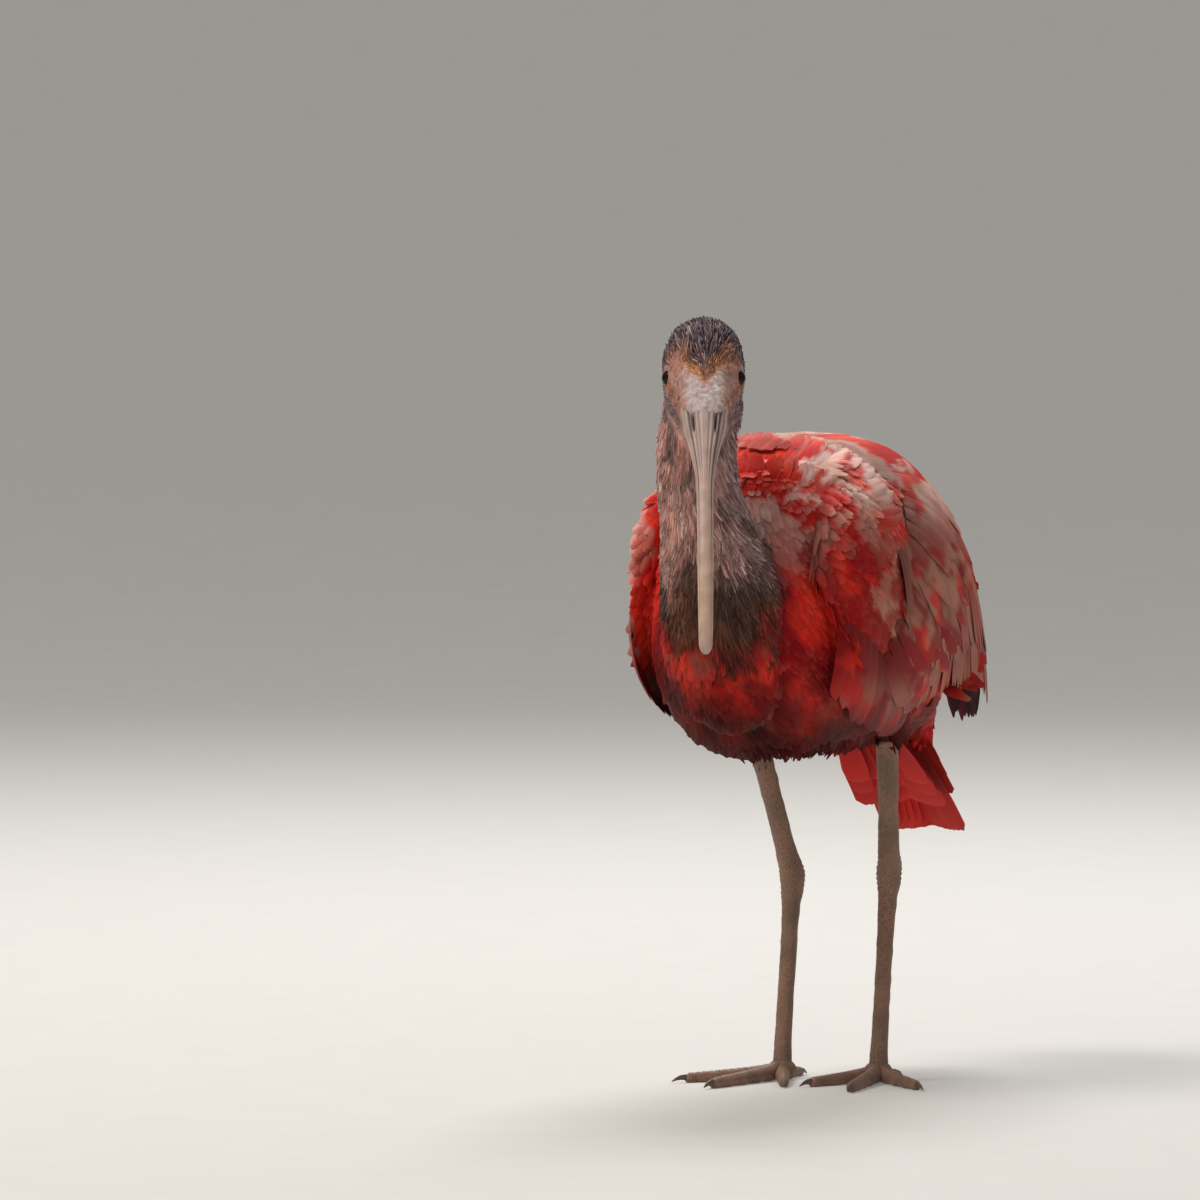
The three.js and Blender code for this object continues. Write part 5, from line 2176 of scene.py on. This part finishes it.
@dataclass
class Bill:
    """The long down-curved bill, in two halves that meet along the mouth."""

    place: Placement
    length: float = 128
    start_pitch: float = math.radians(38)
    end_pitch: float = math.radians(76)
    upper: Rows = (
        (-8, 10, 11),
        (6, 9.9, 10.5),
        (14, 9.5, 9.6),
        (24, 8.2, 7.9),
        (33, 6.3, 6.4),
        (42, 4.7, 5.6),
        (50, 3.75, 5.0),
        (60, 3.5, 4.6),
        (94, 3.3, 4.0),
        (118, 3.0, 3.2),
        (128, 2.7, 2.6),
    )
    lower: Rows = (
        (-8, 10, 8.5),
        (6, 9.4, 7.4),
        (18, 8.0, 5.4),
        (28, 5.8, 4.0),
        (36, 4.5, 3.4),
        (46, 3.6, 3.2),
        (60, 3.4, 3.1),
        (94, 3.1, 2.8),
        (118, 2.7, 2.3),
        (125, 2.3, 2.0),
    )
    grooves: Rows = (  # angle, width, depth, where the groove starts and ends to fade, share that fades
        (50, 5.0, 1.0, 42, 112, 0.75),
        (27, 3.4, 0.55, 34, 62, 1.0),
        (68, 3.6, 0.7, 34, 62, 1.0),
        (12, 3.0, 0.35, 34, 62, 1.0),
    )
    nostril: tuple[float, ...] = (22.5, 4.6, 36, 4.5)  # distance and half-length, angle and half-width
    nostril_depth: float = 1.7

    def line(self, distance: Array) -> tuple[Array, Array]:
        """A point of the mouth's line and the direction above it.

        Args:
            distance: Length along the line.

        Returns:
            Points and upward directions.
        """
        radius = self.length / (self.end_pitch - self.start_pitch)
        begin = HEAD.place(0, 0, 0) + AHEAD * 13 - UP * 8
        pitch = self.start_pitch + distance / radius
        ahead = radius * (np.sin(pitch) - math.sin(self.start_pitch))
        fall = radius * (math.cos(self.start_pitch) - np.cos(pitch))
        return begin + AHEAD * ahead[..., None] - UP * fall[..., None], pitched(pitch)[1]

    def half(self, rows: Rows, way: int, groove: float) -> Surface:
        """One half of the bill.

        Args:
            rows: Its sections.
            way: 1 for the upper half, -1 for the lower.
            groove: Depth of its side grooves, as a share of its width.

        Returns:
            The closed half.
        """
        first, last = rows[0][0], rows[-1][0]

        def reach(share: Array) -> Array:
            """Length along the mouth's line."""
            return lerp(first, last, eased(share))

        def dip(share: Array, angle: Array) -> Array:
            """Depth of the grooves and the nostril, from 0 to 1."""
            distance = reach(share)
            turn = np.degrees(np.abs(np.where(angle > math.pi, angle - TAU, angle)))
            total = 0 * distance
            for at, wide, deep, start, end, faded in self.grooves:
                fade = 1 - faded * ramp(distance, start, end)
                total = total + deep * fade * np.exp(-(((turn - at) / wide) ** 2))
            along, long, at, wide = self.nostril
            slit = np.exp(-(((distance - along) / long) ** 4)) * np.exp(-(((turn - at) / wide) ** 2))
            return np.clip(total + (self.nostril_depth if way > 0 else 0.0) * slit, 0, 2)

        def form(share: Array, angle: Array) -> Array:
            """Points of the half."""
            distance = reach(share)
            _, half, height = section_at(rows, distance)
            ends = cap_share(distance - first, 2) * cap_share(last - distance, 5)
            point, above = self.line(distance)
            high = np.maximum(0, np.cos(angle))
            sunk = 1 - groove * dip(share, angle)
            rise = np.where(np.cos(angle) > 0, height * high**0.85, 0.22 * np.cos(angle))
            across = ends * half * sunk * bulge(np.sin(angle), 2.3)
            lift = way * ends * (rise * sunk + 0.45)
            return point + LEFTWARD * across[..., None] + above * lift[..., None]

        # the depth of the grooves and the nostril, which the bill's material darkens as painted shade
        return closed_form(128, 120, form, lambda share, angle: np.clip(0.85 * dip(share, angle), 0, 0.95))

    def muzzle(self) -> Surface:
        """The soft skin that runs on over the root of the upper half."""

        def form(share: Array, angle: Array) -> Array:
            """Points of the muzzle."""
            end = 13.5 + 8.0 * np.maximum(np.cos(angle), 0) ** 0.7
            distance = lerp(-16.0, end, eased(share))
            _, half, height = section_at(self.upper, np.maximum(distance, -8))
            ends = cap_share(distance + 16, 8) * cap_share(end - distance, 4.5)
            point, above = self.line(distance)
            across = ends * (half + 1.0) * bulge(np.sin(angle), 2.2)
            lift = 4 + ends * np.where(np.cos(angle) > 0, height - 2.9, 4.5) * np.cos(angle)
            return point + LEFTWARD * across[..., None] + above * lift[..., None]

        return closed_form(48, 36, form)

    def build(self, finish: bpy.types.Material) -> None:
        """Makes both halves.

        Args:
            finish: The bill's material.
        """
        for word, rows, way, groove in (("upper", self.upper, 1, 0.15), ("lower", self.lower, -1, 0.08)):
            piece = make_piece(f"bill_{word}_sheath", self.half(rows, way, groove), self.place, [finish])
            turned_out(piece)
            dressed(piece, [f"bill_{word}"])


@dataclass
class Eye:
    """One eye with its lids."""

    side: Side
    place: Placement
    radius: float = 4.4
    spread: float = 13.05
    cornea: float = 0.3  # extra bulge at the front
    around: int = 72
    section: int = 12  # points round the fold of the lids
    opening: tuple[float, float] = (0.99, 0.9)  # shares of the radius, along and over the eye
    wrinkles: int = 26

    def axes(self) -> tuple[Array, Array, Array, Array]:
        """The eye's centre, its outward axis, and two directions square to that."""
        outward = unit(LEFTWARD * self.side.value + AHEAD * 0.22)
        along = pitched(HEAD_PITCH)[0]
        along = unit(along - outward * (along @ outward))
        return HEAD.place(0, self.side.value * self.spread, 0), outward, along, np.cross(outward, along)

    def ball(self) -> Surface:
        """The eyeball, mapped from the pupil outwards."""
        centre, outward, along, over = self.axes()

        def form(share: Array, angle: Array) -> Array:
            """Points of the ball, with the pupil at the first pole."""
            turn = math.pi * share
            reach = self.radius + self.cornea * np.exp(-((share / 0.2) ** 2))
            flat = reach * np.sin(turn)
            return (
                centre
                + outward * (reach * np.cos(turn))[..., None]
                + along * (flat * np.cos(angle))[..., None]
                + over * (flat * np.sin(angle))[..., None]
            )

        return closed_form(40, 36, form)

    def lids(self) -> Surface:
        """Two thin wrinkled folds that part over the eye, as one closed ring."""
        centre, outward, along, over = self.axes()

        def ring(u: Array, w: Array) -> Array:
            """A point round the opening (u) and round the fold's section (w)."""
            high = self.opening[1] * np.sin(u) * (1 + 0.06 * np.cos(2 * u))
            opening = self.radius * np.stack([self.opening[0] * np.cos(u), high], -1)
            flat = opening * (1 + 0.19 * (1 + np.cos(w)))[..., None]
            height = np.sqrt(np.maximum(self.radius**2 * 1.1 - np.sum(opening**2, -1), 1)) - 0.5
            wrinkle = 0.08 * np.sin(self.wrinkles * u) * (1 + np.cos(w))
            lift = height + 0.45 * np.sin(w) - 0.95 * (1 + np.cos(w)) + wrinkle
            return centre + outward * lift[..., None] + along * flat[..., :1] + over * flat[..., 1:]

        around, section = self.around, self.section
        u, w = np.meshgrid(*(np.arange(n) * TAU / n for n in (around, section)), indexing="ij")
        points = ring(u, w).reshape(-1, 3)
        faces: Faces = []
        corners: list[tuple[float, float]] = []
        for i in range(around):
            for j in range(section):
                a, b = (i + 1) % around, (j + 1) % section
                faces.append((i * section + j, a * section + j, a * section + b, i * section + b))
                u0, u1, w0, w1 = i / around, (i + 1) / around, j / section, (j + 1) / section
                corners += [(u0, w0), (u1, w0), (u1, w1), (u0, w1)]
        return Surface(points, faces, np.array(corners))

    def build(self, gloss: bpy.types.Material, rim: bpy.types.Material) -> None:
        """Makes the eyeball and its lids.

        Args:
            gloss: The eyeball's material.
            rim: The lids' material.
        """
        ball = make_piece(f"eyeball_{self.side.word}", self.ball(), self.place, [gloss])
        turned_out(ball)
        dressed(ball, [f"eye_{self.side.word}"])
        lids = self.lids()
        turn = np.arange(len(lids.points)) % self.section * TAU / self.section
        lids.shades = {"tint": blend("#2A1C1A", "#B08A7C", ramp(0.5 + 0.5 * np.cos(turn), 0.1, 0.7))}
        piece = make_piece(f"lids_{self.side.word}", lids, self.place, [rim])
        turned_out(piece)
        dressed(piece)


# Legs


@dataclass(frozen=True)
class Toe:
    """A toe: length, turn from straight ahead towards the outer side, and half-width at the root."""

    name: str
    length: float
    turn: float
    width: float
    pads: int


TOES = (
    Toe("middle", 56, 2, 3.6, 5),
    Toe("inner", 41, -32, 3.3, 3),
    Toe("outer", 46, 36, 3.3, 4),
    Toe("hind", 22, 172, 2.9, 2),
)


@dataclass
class BareLeg:
    """One leg below the plumage: shank, ankle, tarsus, toes and claws."""

    leg: Leg
    place: Placement
    turn_out: float = 8
    scute: float = 3.4  # spacing of the front plates
    toe_plate: float = 3.2  # spacing of the plates on the toes
    claw: float = 9
    claw_root: float = 2.6  # how far a claw reaches back into its toe
    ball: float = 6.4
    noise: Noise = Noise(SEED + 9)

    def column(self) -> ColumnForm:
        """The leg from inside the thigh to the foot, thickest at the ankle."""
        top, ankle, foot = (np.array(p, float) for p in (self.leg.top, self.leg.ankle, self.leg.foot))

        def row(place: Array, half: float, deep: float) -> tuple[float, ...]:
            """One section of the leg."""
            return (place[2], place[0], place[1], half, half * deep, half * deep)

        return ColumnForm(
            (
                row(self.ground(3), 4.3, 1.1),
                row(lerp(foot, ankle, 0.12), 3.7, 1.05),
                row(lerp(foot, ankle, 0.5), 3.55, 1.05),
                row(lerp(foot, ankle, 0.84), 4.0, 1.15),
                row(ankle, 5.4, 1.25),
                row(lerp(ankle, top, 0.2), 4.7, 1.15),
                row(lerp(ankle, top, 0.55), 4.4, 1.0),
                row(top, 4.7, 1.05),
                row(lerp(ankle, top, 1.2), 4.9, 1.05),
            ),
            2,
            2,
        )

    def shaft(self) -> Surface:
        """The bare leg with plates down its front and creases round its ankle."""
        shaft = self.column().surface(36, 220)
        z = shaft.points[:, 2]
        _, x, y, half, front, back = section_at(self.column().rows, z)
        out = shaft.points - np.stack([x, y, z], 1)
        ahead = ramp(-out[:, 1] / np.maximum(front, 1), 0.15, 0.75)
        pitch = z / self.scute
        step = 0.26 * (1 - np.abs(2 * (pitch - np.floor(pitch)) - 1) ** 6) - 0.13
        ankle = np.exp(-(((z - self.leg.ankle[2]) / 9) ** 2))
        crease = 0.28 * np.sin(TAU * z / 2.3 + 0.8 * self.noise.at(shaft.points, 5)) * ankle
        knob = 0.35 * self.noise.at(shaft.points, 6.5) * ankle
        lumps = 0.16 * self.noise.at(shaft.points, 4)
        shaft.points = shaft.points + unit(out) * (step * ahead + crease + knob + lumps)[:, None]
        return shaft

    def ground(self, height: float = 0.0) -> Array:
        """The point under the joint of the toes, or some height over it."""
        return np.array([self.leg.foot[0], self.leg.foot[1], height])

    def on_toe(self, toe: Toe, ahead: Array, across: Array, height: Array) -> Array:
        """Points of a toe's own frame in the layout.

        Args:
            toe: The toe.
            ahead: How far along the toe.
            across: How far to its side.
            height: How far above the ground.

        Returns:
            Points in millimetres.
        """
        turn = math.radians(self.leg.side.value * (toe.turn + self.turn_out))
        forward = np.array([math.sin(turn), -math.cos(turn), 0])
        sideways = np.array([math.cos(turn), math.sin(turn), 0])
        out = forward * ahead[..., None]
        return self.ground() + UP * height[..., None] + out + sideways * across[..., None]

    def toe(self, toe: Toe) -> Surface:
        """One toe: pads below, plates above.

        Args:
            toe: Its sizes.

        Returns:
            The closed toe.
        """

        def form(share: Array, angle: Array) -> Array:
            """Points of the toe."""
            s = share * toe.length
            ends = cap_share(s, 3) * cap_share(toe.length - s, 2.5)
            half = lerp(toe.width, toe.width * 0.62, share) * ends
            pad = 1 + 0.11 * np.cos(TAU * toe.pads * share)
            phase = s / self.toe_plate
            plate = 0.42 * (1 - np.abs(2 * (phase - np.floor(phase)) - 1) ** 5) - 0.1
            high = np.cos(angle)
            reach = np.where(high > 0, half * 1.05 + plate * ends * np.maximum(high, 0) ** 0.5, half * pad)
            base = lerp(toe.width * 0.95, toe.width * 0.55, share) + 2.4 * np.exp(-s / 5)
            height = np.maximum(base + reach * high, 0.0)
            return self.on_toe(toe, s, half * pad * np.sin(angle), height)

        return closed_form(24, int(toe.length * 2.2), form)

    def nail(self, toe: Toe) -> Surface:
        """The claw at a toe's end.

        Args:
            toe: The toe's sizes.

        Returns:
            The closed claw.
        """

        def form(share: Array, angle: Array) -> Array:
            """Points of the claw."""
            s = share * self.claw
            half = toe.width * 0.5 * (1 - share) ** 0.6 * cap_share(s, 1.2)
            rise = toe.width * 0.58 + 0.8 * np.sin(math.pi * share) - 1.3 * share * share
            height = np.maximum(rise + half * np.cos(angle), 0.0)
            return self.on_toe(toe, toe.length - self.claw_root + s, half * 0.8 * np.sin(angle), height)

        return closed_form(16, 16, form)

    def pad(self) -> Surface:
        """The soft ball where the toes meet."""
        middle = self.ground(4.2)

        def form(share: Array, angle: Array) -> Array:
            """Points of the ball."""
            flat = np.sin(math.pi * share)
            point = np.stack([flat * np.cos(angle), flat * np.sin(angle), 0.8 * np.cos(math.pi * share)], -1)
            place = middle + point * self.ball
            place[..., 2] = np.maximum(place[..., 2], 0)
            return place

        return closed_form(36, 24, form)

    def build(self, skin: bpy.types.Material, horn: bpy.types.Material) -> None:
        """Makes the leg's skin and its claws.

        Args:
            skin: The scaled skin.
            horn: The claws' material.
        """
        word = self.leg.side.word
        parts = [self.shaft(), self.pad(), *(self.toe(t) for t in TOES)]
        limb = make_piece(f"leg_skin_{word}", Surface.joined(parts), self.place, [skin])
        turned_out(limb)
        nodes = [f"shank_{word}", f"tarsus_{word}", *(f"toe_{t.name}_{word}" for t in TOES)]
        dressed(limb, nodes)
        nails = make_piece(f"claws_{word}", Surface.joined([self.nail(t) for t in TOES]), self.place, [horn])
        turned_out(nails)
        dressed(nails, [f"claw_{t.name}_{word}" for t in TOES])


# Studio


def aimed(where: Vector, way: Vector) -> Matrix:
    """The placing of a lamp or camera that looks one way from a point."""
    return Matrix.Translation(where) @ way.to_track_quat("-Z", "Y").to_matrix().to_4x4()


@dataclass
class Studio:
    """Plain pale floor, soft light and the camera at the picture's angle."""

    place: Placement
    target: tuple[float, float, float] = (-82.8, -36.9, 210.4)
    azimuth: float = math.radians(24)
    elevation: float = math.radians(2)
    distance: float = 4000
    scale: float = 2.3  # picture points for each millimetre
    picture: int = 1200
    around: int = 96  # corners of the floor's rings
    flat: float = 3500.0  # radius of its level part
    sweep: float = 3000.0  # radius of its upward sweep
    top: float = 9000.0

    def floor(self) -> None:
        """A wide round floor that sweeps up on every side."""
        material, tree, shader = principled("studio_paper")
        grain = cloudy(tree, add_node(tree, "ShaderNodeTexCoord").outputs["Object"], 30.0)
        tint = mixed(tree, grain, linear("#B7B5B1"), linear("#BDBBB7"))
        looks = {"Roughness": 0.9, "Emission Color": linear("#D8D6D2"), "Emission Strength": 0.22}
        finish_shader(tree, shader, tint, looks=looks)
        turn = np.arange(self.around) * TAU / self.around
        bend = np.linspace(0.08, math.pi / 2, 19)
        profile = [(self.flat * k / 6, 0.0) for k in range(1, 7)]
        profile += [(self.flat + self.sweep * math.sin(a), self.sweep * (1 - math.cos(a))) for a in bend]
        profile.append((self.flat + self.sweep, self.top))
        points = [(0.0, 0.0, 0.0)]
        points += [(r * math.cos(a), r * math.sin(a), z) for r, z in profile for a in turn]
        sides = [(j, (j + 1) % self.around) for j in range(self.around)]
        faces: Faces = [(0, 1 + j, 1 + k) for j, k in sides]
        for i in range(len(profile) - 1):
            low, high = 1 + i * self.around, 1 + (i + 1) * self.around
            faces += [(low + j, high + j, high + k, low + k) for j, k in sides]
        corners = np.zeros((sum(len(face) for face in faces), 2))
        make_piece("floor", Surface(np.array(points), faces, corners), self.place, [material])

    def lamp(self, name: str, at: tuple[float, float, float], size: float, power: float, tint: str) -> None:
        """One soft lamp, aimed at the bird.

        Args:
            name: The lamp's name.
            at: Where it hangs, in millimetres.
            size: Its side, in metres.
            power: Its power in watts.
            tint: Its colour.
        """
        data = bpy.data.lights.new(name, "AREA")
        data.size, data.energy, data.color = size, power, linear(tint)[:3]
        lamp = linked(name, data)
        where = Vector(self.place.metres(np.array(at, float)))
        lamp.matrix_world = aimed(where, Vector(self.place.metres(np.array([0.0, -30.0, 200.0]))) - where)

    def camera(self) -> None:
        """The camera at the picture's angle and framing."""
        data = bpy.data.cameras.new("camera")
        data.sensor_width = 36
        data.lens = self.distance * self.scale * data.sensor_width / self.picture
        data.clip_end = 100
        level = math.cos(self.elevation)
        out = (math.sin(self.azimuth) * level, -math.cos(self.azimuth) * level, math.sin(self.elevation))
        aim = Vector(self.place.metres(np.array(self.target)))
        camera = linked("camera", data)
        camera.matrix_world = aimed(aim + Vector(out) * self.distance * MM, -Vector(out))
        bpy.context.scene.camera = camera

    def build(self) -> None:
        """Sets up floor, lamps, surroundings and camera."""
        self.floor()
        self.lamp("key", (-1300, -1500, 2900), 1.4, 74, "#FFF8F0")
        self.lamp("fill", (2300, -2000, 900), 2.2, 9, "#EEF2FF")
        self.lamp("rim", (-500, 1500, 2300), 1.2, 60, "#FFFFFF")
        world = bpy.data.worlds.new("surroundings")
        world.use_nodes = True
        background = world.node_tree.nodes["Background"]
        background.inputs["Color"].default_value = linear("#E6E8EA")
        background.inputs["Strength"].default_value = 0.12
        bpy.context.scene.world = world
        bpy.context.scene.view_settings.view_transform = "Standard"
        self.camera()


def main() -> None:
    """Builds the dressed bird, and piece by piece."""
    logging.basicConfig(level=logging.INFO, format="%(message)s")
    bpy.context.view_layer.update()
    place = Placement.from_eyes()
    skin = Skin(place).build(LivingSkin().build())
    flesh = ["torso", "neck", "head", "thigh_left", "thigh_right"]
    broad = FeatherVane("contour_feather").build()
    fine = FeatherVane("fine_feather", 0.7, 0.03, 5.0, 0.2, 0.4, 0.32, 4.0).build()
    Coat(skin, place).build(broad, fine)
    dressed(skin, flesh)
    long_vane = FeatherVane("flight_feather", 0.55, 0.04, 40.0, 0.45, 0.5).build()
    for side in Side:
        Wing(side, place).build(long_vane)
    Tail(place).build(long_vane)
    Bill(place).build(BillKeratin().build())
    rim = LivingSkin("lid_skin", 1800.0).build()
    gloss = EyeGloss().build()
    for side in Side:
        Eye(side, place).build(gloss, rim)
    horn = ClawHorn().build()
    scales = ScaledSkin("scaled_leg_skin", ("#A0765F", "#7C634E", "#654C40")).build()
    for leg in LEGS:
        BareLeg(leg, place).build(scales, horn)
    Studio(place).build()
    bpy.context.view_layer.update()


if __name__ == "__main__":
    main()
